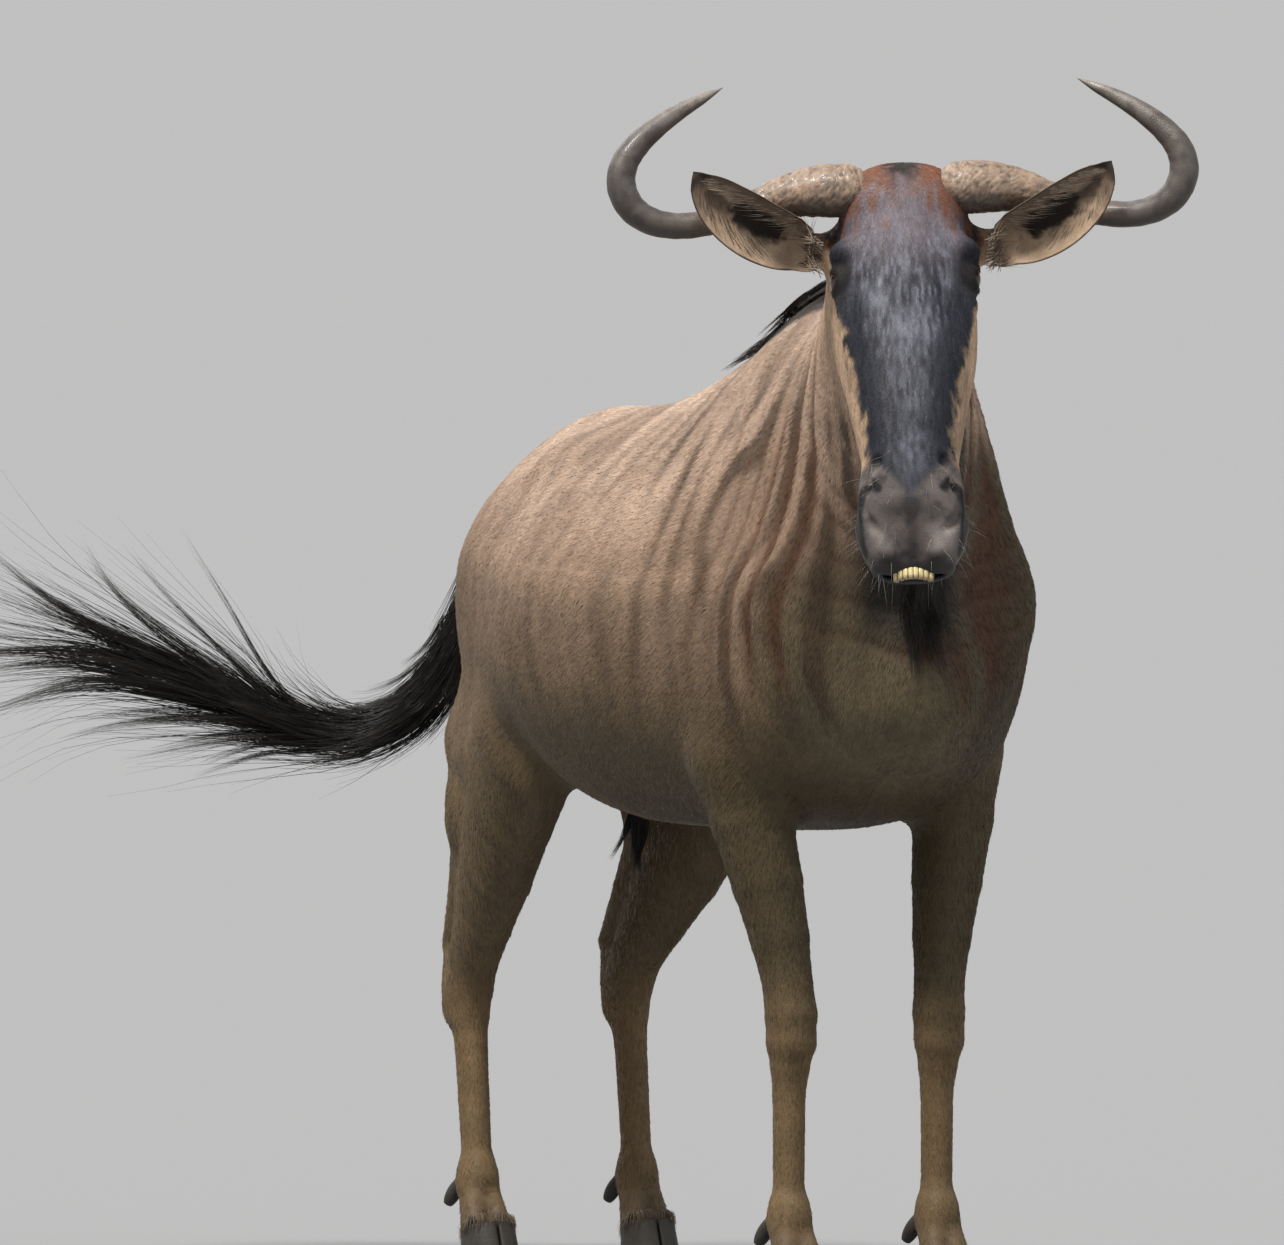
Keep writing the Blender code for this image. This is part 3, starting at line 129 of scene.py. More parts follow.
# Painted shade in the skin's folds
FOLD_SHADE = np.array((0.075, 0.032, 0.015))
# Black hair, also used for painted shade under the jaw and down the throat
BLACK_HAIR_AND_SHADE = np.array((0.012, 0.010, 0.008))
CHEEK = np.array((0.540, 0.370, 0.245))
CHEEK_DARK = np.array((0.170, 0.115, 0.078))
FACE = np.array((0.016, 0.018, 0.026))
# Painted sheen: silver streaks for the sky's reflection on the glossy black hair of the face
PAINTED_SILVER_SHEEN = np.array((0.190, 0.196, 0.238))
# Upper forehead: brownish hair made paler by painted sky reflection
FOREHEAD_HAIR_AND_SHEEN = np.array((0.150, 0.122, 0.140))
RUST = np.array((0.160, 0.062, 0.030))
# Dark round the eye, also the painted shadow before it
EYE_RIM_AND_SHADOW = np.array((0.010, 0.008, 0.007))
MUZZLE = np.array((0.105, 0.088, 0.083))
MUZZLE_PALE = np.array((0.340, 0.290, 0.270))
MUZZLE_DARK = np.array((0.022, 0.019, 0.019))
# Painted shadow in the nostrils and the cut of the mouth
NOSTRIL_AND_MOUTH_SHADOW = np.array((0.003, 0.003, 0.003))
HORN_BOSS = np.array((0.300, 0.210, 0.148))
HORN_SHAFT = np.array((0.080, 0.066, 0.058))
# Paler horn tip, partly painted highlight, also painted on the upper side of the shaft
HORN_TIP_AND_HIGHLIGHT = np.array((0.290, 0.255, 0.225))
# Dark of the boss's pits, also painted shade on the horn's underside
HORN_DARK_AND_SHADE = np.array((0.030, 0.021, 0.016))
EAR_BACK = np.array((0.180, 0.130, 0.095))
EAR_DARK = np.array((0.022, 0.015, 0.011))
EAR_PALE = np.array((0.340, 0.245, 0.170))
EAR_BROWN = np.array((0.070, 0.047, 0.033))
EAR_HOLLOW = np.array((0.010, 0.007, 0.005))
EAR_HAIR = np.array((0.500, 0.385, 0.290))
EYE_WHITE = np.array((0.060, 0.040, 0.030))
EYE_IRIS = np.array((0.045, 0.022, 0.010))
EYE_PUPIL = np.array((0.004, 0.004, 0.006))
TOOTH = np.array((0.560, 0.480, 0.240))
TOOTH_STAIN = np.array((0.220, 0.140, 0.070))
HOOF = np.array((0.030, 0.026, 0.022))
HOOF_WORN = np.array((0.160, 0.135, 0.110))
LONG_BLACK = np.array((0.008, 0.007, 0.006))
MANE_TONE = np.array((0.020, 0.016, 0.012))
HAIR_BROWN = np.array((0.070, 0.042, 0.025))
TAIL_ROOT = np.array((0.140, 0.100, 0.070))
WHISKER = np.array((0.500, 0.480, 0.450))
SKIN_TONE = 0.88

# Forms of the flesh, as in the solids

# Head: top of the poll, turn to the right, lean of the face from upright, and roll
POLL = np.array((-0.135, -0.45, 1.427))
HEAD_TURN = math.radians(-23.0)
HEAD_LEAN = math.radians(24.0)
HEAD_ROLL = math.radians(1.5)

# Trunk sections: y, top, height of the widest place, bottom, half width, upper and lower roundness
TRUNK = (
    (-0.15, 1.200, 0.880, 0.690, 0.150, 1.45, 2.0),
    (-0.07, 1.260, 0.870, 0.630, 0.184, 1.30, 2.1),
    (0.05, 1.285, 0.860, 0.605, 0.208, 1.22, 2.2),
    (0.15, 1.269, 0.855, 0.600, 0.224, 1.22, 2.3),
    (0.26, 1.220, 0.855, 0.598, 0.240, 1.26, 2.3),
    (0.39, 1.176, 0.860, 0.597, 0.250, 1.36, 2.3),
    (0.55, 1.142, 0.870, 0.602, 0.248, 1.48, 2.2),
    (0.68, 1.134, 0.885, 0.628, 0.226, 1.42, 2.1),
    (0.80, 1.133, 0.900, 0.672, 0.198, 1.34, 2.0),
    (0.92, 1.112, 0.900, 0.730, 0.166, 1.38, 2.0),
    (1.01, 1.078, 0.895, 0.775, 0.134, 1.50, 2.0),
    (1.07, 1.048, 0.900, 0.835, 0.104, 1.70, 2.0),
    (1.12, 1.010, 0.910, 0.865, 0.066, 1.90, 2.0),
)
TRUNK_CAP = 0.40
SIDE_BLEND = 0.14
SIDE_ROUND = 0.03
RIDGE_ROUND = 0.012

# Forms added one after another. An egg has a centre and radii, a rod two ends with two pairs of radii,
# and the last value is how wide the blend is.
TRUNK_FORMS = (
    ((0.0, -0.155, 0.815), (0.095, 0.105, 0.125), 0.05),
    ((0.062, 0.040, 1.120), (0.122, -0.090, 0.900), (0.028, 0.075), (0.060, 0.088), 0.04),
    ((0.124, -0.090, 0.880), (0.138, 0.045, 0.710), (0.060, 0.085), (0.054, 0.075), 0.04),
    ((0.074, 0.800, 0.945), (0.140, 0.715, 0.745), (0.084, 0.130), (0.062, 0.105), 0.05),
    ((0.050, 1.000, 0.900), (0.098, 0.985, 0.700), (0.056, 0.085), (0.054, 0.085), 0.05),
    ((0.100, 0.980, 0.700), (0.124, 0.960, 0.600), (0.054, 0.082), (0.042, 0.060), 0.03),
    ((0.098, 0.880, 0.900), (0.134, 0.860, 0.690), (0.055, 0.110), (0.054, 0.100), 0.04),
    ((0.100, 0.660, 1.040), (0.045, 0.085, 0.045), 0.05),
    ((0.0, 0.665, 0.628), (0.032, 0.090, 0.030), 0.03),
)

# Neck sections from chest to poll: centre x, y, z, half width, half depth
NECK = (
    (0.000, -0.020, 1.030, 0.148, 0.228),
    (-0.014, -0.115, 1.090, 0.122, 0.200),
    (-0.042, -0.200, 1.155, 0.101, 0.168),
    (-0.078, -0.285, 1.220, 0.088, 0.140),
    (-0.112, -0.370, 1.285, 0.080, 0.118),
)
NECK_STEPS = 10

# Head sections down the face: height below the poll, front, back, half width, roundness
SKULL = (
    (-0.500, 0.040, 0.098, 0.052, 2.6),
    (-0.480, 0.020, 0.112, 0.0620, 2.8),
    (-0.450, 0.006, 0.118, 0.0660, 2.8),
    (-0.410, 0.000, 0.120, 0.0640, 2.7),
    (-0.370, -0.007, 0.128, 0.0595, 2.7),
    (-0.330, -0.012, 0.142, 0.0650, 2.7),
    (-0.280, -0.015, 0.165, 0.0730, 2.7),
    (-0.200, -0.015, 0.196, 0.0825, 2.6),
    (-0.160, -0.014, 0.200, 0.0850, 2.5),
    (-0.120, -0.012, 0.190, 0.0850, 2.5),
    (-0.070, -0.006, 0.175, 0.0810, 2.5),
    (-0.030, 0.000, 0.155, 0.0760, 2.5),
    (-0.008, 0.010, 0.135, 0.0680, 2.4),
)
SKULL_CAP = 0.62
EYE_PLACE = (0.0715, 0.050, -0.129)
EYE_RADIUS = 0.0205

# Cheek muscle, cheek bone, brow, and the crown between the horns over their inner ends
HEAD_FORMS = (
    ((0.052, 0.130, -0.185), (0.028, 0.060, 0.070), 0.02),
    ((0.070, 0.045, -0.165), (0.060, 0.035, -0.260), (0.016, 0.020), (0.008, 0.012), 0.015),
    ((0.070, 0.040, -0.098), (0.022, 0.032, 0.017), 0.014),
    ((0.024, 0.050, -0.030), (0.046, 0.046, 0.036), 0.02),
)

# Hollow of the temple and the one before the eye
HEAD_HOLLOWS = (
    ((0.104, 0.105, -0.100), (0.024, 0.030, 0.030), 0.014),
    ((0.098, 0.012, -0.160), (0.018, 0.020, 0.022), 0.012),
)

# Chin and lips, and the cup of the nostril
MUZZLE_FORMS = (
    ((0.0, 0.098, -0.478), (0.044, 0.026, 0.026), 0.014),
    ((0.030, 0.040, -0.492), (0.054, 0.066, -0.450), (0.014, 0.014), (0.012, 0.014), 0.012),
)
NOSTRIL_CUP = (((0.056, 0.024, -0.410), (0.012, 0.012, 0.016), 0.006),)

# Lower front teeth: how many, half the row and its arc, then of one tooth half its width and depth, its foot
# and how far back its middle is
TEETH = 8
TEETH_HALF = 0.0235
TEETH_ARC = 0.012
TOOTH_HALF = 0.00310
TOOTH_DEEP = 0.0032
TOOTH_FOOT = -0.5230
TOOTH_SET = 0.0034

# Horn line on the left side: out, back and up from the poll, thickness up and down, thickness fore and aft
HORN = (
    (0.046, 0.026, -0.022, 0.024, 0.026),
    (0.056, 0.027, -0.024, 0.031, 0.034),
    (0.075, 0.029, -0.026, 0.0345, 0.038),
    (0.103, 0.031, -0.026, 0.0335, 0.036),
    (0.137, 0.032, -0.030, 0.0290, 0.030),
    (0.170, 0.031, -0.039, 0.0235, 0.024),
    (0.204, 0.028, -0.051, 0.0190, 0.0195),
    (0.240, 0.022, -0.061, 0.0170, 0.0175),
    (0.276, 0.013, -0.064, 0.0165, 0.0170),
    (0.308, 0.005, -0.057, 0.0172, 0.0172),
    (0.331, 0.000, -0.040, 0.0180, 0.0176),
    (0.342, 0.000, -0.014, 0.0183, 0.0176),
    (0.338, 0.003, 0.012, 0.0173, 0.0168),
    (0.322, 0.010, 0.035, 0.0155, 0.0152),
    (0.297, 0.019, 0.057, 0.0132, 0.0130),
    (0.268, 0.029, 0.076, 0.0102, 0.0100),
    (0.240, 0.037, 0.091, 0.0066, 0.0065),
    (0.222, 0.042, 0.100, 0.0022, 0.0022),
)

# Ear line on the left side: out, back and up from the poll, half width, depth of the cup
EAR = (
    (0.1078, 0.058, -0.096, 0.0180, 0.022),
    (0.122, 0.052, -0.093, 0.0240, 0.024),
    (0.138, 0.036, -0.087, 0.0310, 0.026),
    (0.157, 0.018, -0.079, 0.0365, 0.026),
    (0.177, 0.004, -0.069, 0.0390, 0.024),
    (0.197, -0.006, -0.056, 0.0385, 0.021),
    (0.215, -0.013, -0.042, 0.0350, 0.018),
    (0.230, -0.018, -0.028, 0.0290, 0.014),
    (0.242, -0.021, -0.015, 0.0195, 0.009),
    (0.250, -0.023, -0.004, 0.0080, 0.004),
)
EAR_THICKNESS = 0.0042

# Forelegs from elbow to fetlock: x (from the knee line in the lower rows), y, z, half width, half depth
KNEE_X = {1: 0.105, -1: 0.095}
ELBOW_SHIFT = {1: 0.0, -1: -0.010}
FOREARM = (
    (0.149, 0.050, 0.690, 0.056, 0.070),
    (0.141, 0.035, 0.620, 0.052, 0.062),
    (0.127, 0.020, 0.545, 0.0455, 0.052),
)
FORE_SHANK = (
    (0.010, 0.008, 0.475, 0.0380, 0.044),
    (0.003, 0.000, 0.420, 0.0325, 0.037),
    (0.000, -0.005, 0.380, 0.0335, 0.037),
    (0.000, -0.006, 0.345, 0.0325, 0.035),
    (0.000, -0.002, 0.315, 0.0260, 0.029),
    (0.000, 0.001, 0.280, 0.0215, 0.026),
    (0.000, 0.002, 0.150, 0.0205, 0.0255),
)

# Hind legs from stifle to fetlock, and the tendon to the point of the hock
HOCK_X = 0.112
GASKIN = (
    (0.148, 0.745, 0.700, 0.064, 0.110),
    (0.142, 0.815, 0.625, 0.055, 0.096),
    (0.132, 0.888, 0.545, 0.046, 0.080),
    (0.122, 0.958, 0.475, 0.0370, 0.062),
    (0.115, 1.012, 0.418, 0.0325, 0.046),
    (0.112, 1.033, 0.375, 0.0305, 0.040),
    (0.112, 1.036, 0.335, 0.0260, 0.034),
    (0.112, 1.030, 0.300, 0.0220, 0.0285),
    (0.112, 1.010, 0.155, 0.0205, 0.026),
)
HOCK_TENDON = (
    (0.128, 0.965, 0.610, 0.034, 0.050),
    (0.116, 1.040, 0.500, 0.0230, 0.030),
    (0.110, 1.094, 0.430, 0.0170, 0.019),
    (0.112, 1.062, 0.350, 0.0230, 0.024),
)
FORE_Y = 0.0
HIND_Y = 1.008

# Hooves: each foot has two claws and two dewclaws. The coronet slopes down to the back, and a claw's wall
# slopes with it from a part of its height.
CORONET = 0.064
CORONET_SLOPE = 0.30
SLOPE_FROM = 0.25
CLAW_GAP = 0.0035
CLAW_FORWARD = 0.036
CLAW_LENGTH = 0.094
CLAW_WIDTH = 0.0365
CLAW_UPRIGHT = 0.012
CLAW_TOP_LENGTH = 0.066
CLAW_TOP_WIDTH = 0.0325

# Tail line: x, y, z, radius of the dock and then of the core inside the hair. After it come the rows where
# the dock ends, the lower hair starts and the core ends, and a direction that the tail never takes.
TAIL = (
    (0.000, 1.085, 1.010, 0.027),
    (-0.003, 1.165, 0.985, 0.026),
    (-0.018, 1.215, 0.900, 0.023),
    (-0.057, 1.250, 0.789, 0.021),
    (-0.105, 1.288, 0.722, 0.019),
    (-0.168, 1.330, 0.696, 0.017),
    (-0.250, 1.367, 0.715, 0.015),
    (-0.332, 1.400, 0.753, 0.012),
    (-0.474, 1.450, 0.805, 0.008),
    (-0.605, 1.480, 0.830, 0.003),
)
DOCK_END = 2.0
TAIL_SPLIT = 5.0
CORE_END = 8.0
TAIL_GUIDE = (0.35, 0.9, 0.1)

# Root lines of the hair: mane along the crest, and the others as pairs of places inside and outside the skin
CREST = (
    (-0.0975, -0.318),
    (-0.080, -0.278),
    (-0.052, -0.213),
    (-0.024, -0.130),
    (-0.006, -0.040),
    (0.000, 0.050),
    (0.000, 0.140),
    (0.000, 0.230),
    (0.000, 0.310),
)
THROAT = (
    ((-0.072, -0.285, 1.120), (-0.092, -0.400, 1.010)),
    ((-0.054, -0.245, 1.070), (-0.070, -0.400, 0.965)),
    ((-0.038, -0.210, 1.020), (-0.048, -0.400, 0.930)),
    ((-0.024, -0.185, 0.960), (-0.030, -0.400, 0.890)),
    ((-0.012, -0.165, 0.900), (-0.014, -0.400, 0.850)),
)

# In the head's own axes
JAW_LINE = (
    ((0.0, 0.080, -0.440), (0.0, 0.200, -0.470)),
    ((0.0, 0.085, -0.400), (0.0, 0.210, -0.440)),
    ((0.0, 0.095, -0.360), (0.0, 0.220, -0.405)),
    ((0.0, 0.100, -0.320), (0.0, 0.230, -0.370)),
)
SHEATH = (
    ((0.0, 0.700, 0.660), (0.0, 0.700, 0.500)),
    ((0.0, 0.725, 0.660), (0.0, 0.725, 0.500)),
    ((0.0, 0.750, 0.660), (0.0, 0.750, 0.500)),
)

# Strips that the locks grow from: half width, and depth under the skin
CREST_STRIP = (0.017, 0.018)
THROAT_STRIP = (0.024, 0.018)
JAW_STRIP = (0.017, 0.013)
SHEATH_STRIP = (0.012, 0.012)
LOCK_GAP = 0.006

# Locks of hair: how many, shortest and longest, width, thickness, and the room left to the skin
MANE_LOCKS = (20, 0.090, 0.150, 0.034, 0.0065, 0.0050)
THROAT_LOCKS = (18, 0.120, 0.180, 0.028, 0.0060, 0.0065)
BEARD_LOCKS = (10, 0.060, 0.095, 0.018, 0.0055, 0.0050)
SHEATH_LOCKS = (5, 0.055, 0.085, 0.016, 0.0050, 0.0050)
MANE_SIDE_LOCKS = (26, 0.060, 0.110, 0.026, 0.0065, 0.0040)
MANE_SLEEK_LOCKS = (26, 0.100, 0.160, 0.026, 0.0045, 0.0030)
TAIL_UPPER_LOCKS = (14, 0.150, 0.230, 0.030, 0.0065, 0.0080)
TAIL_LOWER_LOCKS = (25, 0.230, 0.360, 0.028, 0.0060, 0.0080)


def soft_min(a, b, k):
    h = np.clip(0.5 + 0.5 * (b - a) / k, 0.0, 1.0)
    return b + (a - b) * h - k * h * (1.0 - h)


def soft_max(a, b, k):
    return -soft_min(-a, -b, k)


def curve(knots, values, at):
    """Smooth line through the values, held level past both ends."""
    k = np.asarray(knots, float)
    v = np.asarray(values, float)
    slope = np.gradient(v, k)
    i = np.clip(np.searchsorted(k, at) - 1, 0, len(k) - 2)
    h = k[i + 1] - k[i]
    t = np.clip((at - k[i]) / h, 0.0, 1.0)
    start = (1 + 2 * t) * (1 - t) ** 2 * v[i] + t * (1 - t) ** 2 * h * slope[i]
    end = t * t * (3 - 2 * t) * v[i + 1] + t * t * (t - 1) * h * slope[i + 1]
    return start + end


def resampled(rows, at):
    """Smooth line through rows of numbers, read at parts of the way from one row to the next."""
    rows = np.asarray(rows, float)
    knots = np.arange(len(rows), dtype=float)
    return np.stack([curve(knots, column, at) for column in rows.T], -1)


def unit(v):
    v = np.asarray(v, float)
    return v / np.linalg.norm(v)


def unit_rows(v):
    return v / np.maximum(np.linalg.norm(v, axis=1, keepdims=True), 1e-9)


def limb(p, start, end, r_start, r_end, side=(1.0, 0.0, 0.0)):
    """Rounded tapering rod; each radius is a pair, across and fore and aft."""
    a = np.asarray(start, float)
    axis = np.asarray(end, float) - a
    length = np.linalg.norm(axis)
    axis = axis / length
    side = np.asarray(side, float)
    side = unit(side - axis * side.dot(axis))
    deep = np.cross(axis, side)
    d = p - a
    along = d @ axis
    t = np.clip(along / length, 0.0, 1.0)
    w = r_start[0] + (r_end[0] - r_start[0]) * t
    h = r_start[1] + (r_end[1] - r_start[1]) * t
    small = np.minimum(w, h)
    over = (along - t * length) / small
    return (np.sqrt((d @ side / w) ** 2 + (d @ deep / h) ** 2 + over ** 2) - 1.0) * small


def egg(p, centre, radii):
    q = (p - np.asarray(centre)) / np.asarray(radii)
    return (np.sqrt((q * q).sum(1)) - 1.0) * min(radii)


def mirrored(p, side):
    q = p.copy()
    q[:, 0] *= side
    return q


def folded(p):
    """Both sides laid over the left one."""
    q = p.copy()
    q[:, 0] = np.abs(q[:, 0])
    return q


def shaped(d, p, rows, sign=1):
    """Rows of eggs and rods added to d one after another, or cut out of it where the sign is -1."""
    for *shape, k in rows:
        form = egg if len(shape) == 2 else limb
        d = sign * soft_min(sign * d, form(p, *shape), k)
    return d


def trunk(p):
    y = p[:, 1]
    rows = np.array(TRUNK)
    inside = np.clip(y, rows[0, 0], rows[-1, 0])
    top, wide, low, half, up, down = (curve(rows[:, 0], rows[:, c], inside) for c in range(1, 7))
    rise = p[:, 2] - wide
    above = np.clip(rise / SIDE_BLEND + 0.5, 0.0, 1.0)
    n = down + (up - down) * above
    h = np.where(rise > 0, top - wide, wide - low)
    x = np.hypot(p[:, 0], RIDGE_ROUND) - RIDGE_ROUND / 2
    # The rise is rounded off at the widest height, so that no crease runs along the side
    z = (np.hypot(rise, SIDE_ROUND) - SIDE_ROUND) / (np.hypot(h, SIDE_ROUND) - SIDE_ROUND)
    r = ((x / half) ** n + z ** n) ** (1.0 / n)
    small = np.minimum(half, (top - low) / 2)
    over = (y - inside) / (small * TRUNK_CAP)
    return (np.sqrt(r * r + over * over) - 1.0) * small


def trunk_forms(p):
    return shaped(trunk(p), folded(p), TRUNK_FORMS)


def sleeve(p, rows, k, sides=None):
    """Row of rods end to end; each row holds a place, a half width and a half depth."""
    d = None
    for a, b, side in zip(rows, rows[1:], sides or ((1.0, 0.0, 0.0),) * len(rows)):
        piece = limb(p, a[:3], b[:3], a[3:], b[3:], side)
        d = piece if d is None else soft_min(d, piece, k)
    return d


def neck(p):
    rows = resampled(NECK, np.linspace(0, len(NECK) - 1, NECK_STEPS + 1))
    turn = np.linspace(0.1, 0.38, NECK_STEPS)
    sides = [(math.cos(a), -math.sin(a), 0.0) for a in turn]
    return sleeve(p, rows, 0.008, sides)


def digits(p, x, y):
    """Pastern parted in two toes above the coronet."""
    d = egg(p, (x, y, 0.130), (0.0285, 0.034, 0.033))
    for s in (-1, 1):
        ends = (x + s * 0.010, y - 0.006, 0.112), (x + s * 0.0185, y - 0.036, 0.050)
        d = shaped(d, p, ((*ends, (0.0175, 0.022), (0.0178, 0.028), 0.010),))
    ends = (x, y + 0.020, 0.118), (x, y + 0.004, 0.080)
    return shaped(d, p, ((*ends, (0.020, 0.014), (0.018, 0.012), 0.014),))


def foreleg(p, side):
    q = mirrored(p, side)
    x = KNEE_X[side]
    rows = tuple((row[0] + ELBOW_SHIFT[side],) + row[1:] for row in FOREARM)
    rows += tuple((x + row[0],) + row[1:] for row in FORE_SHANK)
    d = sleeve(q, rows, 0.003)
    # Elbow, and the knee's back
    d = shaped(d, q, (((0.146, 0.085, 0.672), (0.028, 0.034, 0.045), 0.03),
                      ((x, 0.026, 0.383), (0.014, 0.013, 0.020), 0.012)))
    return soft_min(d, digits(q, x, FORE_Y), 0.012)


def hindleg(p, side):
    q = mirrored(p, side)
    d = sleeve(q, GASKIN, 0.003)
    d = soft_min(d, sleeve(q, HOCK_TENDON, 0.004), 0.030)
    return soft_min(d, digits(q, HOCK_X, HIND_Y), 0.012)


def head_axes():
    """Columns are the head's left, back and up in the body's axes, first with roll and lean, then turned."""
    cr, sr = math.cos(HEAD_ROLL), math.sin(HEAD_ROLL)
    cl, sl = math.cos(HEAD_LEAN), math.sin(HEAD_LEAN)
    ct, st = math.cos(HEAD_TURN), math.sin(HEAD_TURN)
    lean = np.array(((1, 0, 0), (0, cl, sl), (0, -sl, cl)))
    roll = np.array(((cr, 0, -sr), (0, 1, 0), (sr, 0, cr)))
    turn = np.array(((ct, -st, 0), (st, ct, 0), (0, 0, 1)))
    return turn @ roll @ lean, turn @ roll


HEAD_AXES, LEVEL_AXES = head_axes()


def in_head(p):
    """Place in the head's own axes."""
    return (p - POLL) @ HEAD_AXES


def from_head(q):
    return POLL + np.asarray(q, float) @ HEAD_AXES.T


def from_level(q):
    """Out, back and up from the poll, turned and rolled with the head but not leaning."""
    return POLL + np.asarray(q, float) @ LEVEL_AXES.T


def skull(q):
    z = q[:, 2]
    rows = np.array(SKULL)
    inside = np.clip(z, rows[0, 0], rows[-1, 0])
    front, back, half, n = (curve(rows[:, 0], rows[:, c], inside) for c in range(1, 5))
    h = (back - front) / 2
    mid = (back + front) / 2
    r = ((np.abs(q[:, 0]) / half) ** n + (np.abs(q[:, 1] - mid) / h) ** n) ** (1.0 / n)
    small = np.minimum(half, h)
    over = (z - inside) / (small * SKULL_CAP)
    return (np.sqrt(r * r + over * over) - 1.0) * small


def groove(p, points, radius):
    d = None
    for a, b in zip(points, points[1:]):
        piece = limb(p, a, b, (radius, radius), (radius, radius))
        d = piece if d is None else np.minimum(d, piece)
    return d


def head(p):
    q = in_head(p)
    m = folded(q)
    d = shaped(skull(q), m, HEAD_FORMS)
    d = shaped(d, m, HEAD_HOLLOWS, -1)
    root = in_head(from_level(EAR[0][:3]))
    d = shaped(d, m, (((0.052, 0.096, -0.070), root, (0.040, 0.036), (0.0185, 0.0205), 0.018),
                      (root, root + (0.02, 0, 0.004), (0.019, 0.021), (0.019, 0.021), 0.004)))
    # Upper and lower eyelid round the eyeball
    eye = np.array(EYE_PLACE)
    d = shaped(d, m, ((eye, (0.0242, 0.0265, 0.0250), 0.007),))
    d = shaped(d, m, ((eye + (0.024, -0.001, -0.001), (0.022, 0.0195, 0.0115), 0.003),), -1)
    d = shaped(d, m, MUZZLE_FORMS)
    # Nostrils, comma shaped, and the mouth line
    d = soft_max(d, -groove(m, NOSTRIL, NOSTRIL_RADIUS), 0.005)
    d = shaped(d, m, NOSTRIL_CUP, -1)
    return soft_max(d, -groove(m, MOUTH, MOUTH_RADIUS), 0.005)


def horn(p):
    q = folded((p - POLL) @ LEVEL_AXES)
    rows = HORN[1::2]
    d = None
    for a, b in zip(rows, rows[1:]):
        piece = limb(q, a[:3], b[:3], (a[4], a[3]), (b[4], b[3]), (0.0, 1.0, 0.0))
        d = piece if d is None else np.minimum(d, piece)
    return d


# Corners and edges of a cell of the surface net, its widest grid, and the side of a block of cells
GRID_REACH = 4096
BLOCK = 4
EDGES = [(a, b) for a in range(8) for b in range(a + 1, 8) if bin(a ^ b).count("1") == 1]
CORNERS = np.array([((c >> 2) & 1, (c >> 1) & 1, c & 1) for c in range(8)])


def joined(corners):
    """Whether these corners of a cell hang together along its edges."""
    left = set(corners)
    queue = [left.pop()] if left else []
    while queue:
        here = queue.pop()
        for other in list(left):
            if bin(here ^ other).count("1") == 1:
                left.discard(other)
                queue.append(other)
    return not left


def pinched_cells():
    """For each of the 256 patterns of corners inside a form: whether two sheets would meet in the cell."""
    table = []
    for pattern in range(256):
        inside = [c for c in range(8) if pattern >> c & 1]
        outside = [c for c in range(8) if not pattern >> c & 1]
        table.append(not (joined(inside) and joined(outside)))
    return np.array(table)


PINCHED = pinched_cells()


def grid_of(counts):
    """Whole places of a grid, one row each."""
    return np.stack(np.meshgrid(*[np.arange(n) for n in counts], indexing="ij"), -1).reshape(-1, 3)


def mixed_cells(form, low, high, step):
    """Cells that the form's zero runs through, with the form's values at their corners."""
    low = np.asarray(low, float)
    counts = np.ceil((np.asarray(high) - low) / (step * BLOCK)).astype(int)
    blocks = grid_of(counts)
    near = np.abs(form(low + (blocks + 0.5) * BLOCK * step)) < BLOCK * step * 1.5
    cells = (blocks[near][:, None] * BLOCK + grid_of((BLOCK,) * 3)).reshape(-1, 3)
    strides = np.array((GRID_REACH ** 2, GRID_REACH, 1))
    keys, places = np.unique((cells[:, None] + CORNERS) @ strides, return_inverse=True)
    places = places.reshape(-1, 8)
    value = form(low + keys[:, None] // strides % GRID_REACH * step)
    weights = 1 << np.arange(8)
    # Where two sheets would meet in a cell, its shallowest corner inside is taken as outside
    while True:
        pattern = (value[places] < 0) @ weights
        pinched = np.nonzero(PINCHED[pattern])[0]
        if len(pinched) == 0:
            break
        v = value[places[pinched]]
        shallow = np.argmax(np.where(v < 0, v, -1.0), axis=1)
        value[places[pinched, shallow]] = step * 0.01
    mixed = (pattern > 0) & (pattern < 255)
    return low, cells[mixed], value[places[mixed]], strides


def surface_of(form, low, high, step):
    """Closed surface at the form's zero, as points and four-cornered faces."""
    low, cells, v, strides = mixed_cells(form, low, high, step)
    total = np.zeros((len(cells), 3))
    count = np.zeros(len(cells))
    for a, b in EDGES:
        crossing = (v[:, a] < 0) != (v[:, b] < 0)
        t = np.where(crossing, v[:, a] / np.where(crossing, v[:, a] - v[:, b], 1.0), 0.0)
        spot = CORNERS[a] + t[:, None] * (CORNERS[b] - CORNERS[a])
        total += spot * crossing[:, None]
        count += crossing
    points = low + (cells + total / count[:, None]) * step
    keys = cells @ strides
    order = np.argsort(keys)
    ranked = keys[order]
    faces = []
    for a, end in enumerate((4, 2, 1)):
        b, c = (a + 1) % 3, (a + 2) % 3
        starts = v[:, 0] < 0
        crossing = np.nonzero(starts != (v[:, end] < 0))[0]
        ring = []
        for shift in (0, strides[b], strides[b] + strides[c], strides[c]):
            ring.append(order[np.searchsorted(ranked, keys[crossing] - shift)])
        ring = np.stack(ring, -1)
        flip = ~starts[crossing]
        ring[flip] = ring[flip][:, ::-1]
        faces.append(ring)
    return points, np.concatenate(faces)


def gradient(form, p, h=0.0008):
    base = form(p)
    g = np.stack([form(p + h * np.eye(3)[a]) - base for a in range(3)], -1) / h
    return base, g


def settled(form, p):
    """Points moved onto the form's surface."""
    for _ in range(2):
        base, g = gradient(form, p)
        p = p - np.clip(base / np.maximum((g * g).sum(1), 0.2), -0.02, 0.02)[:, None] * g
    return p


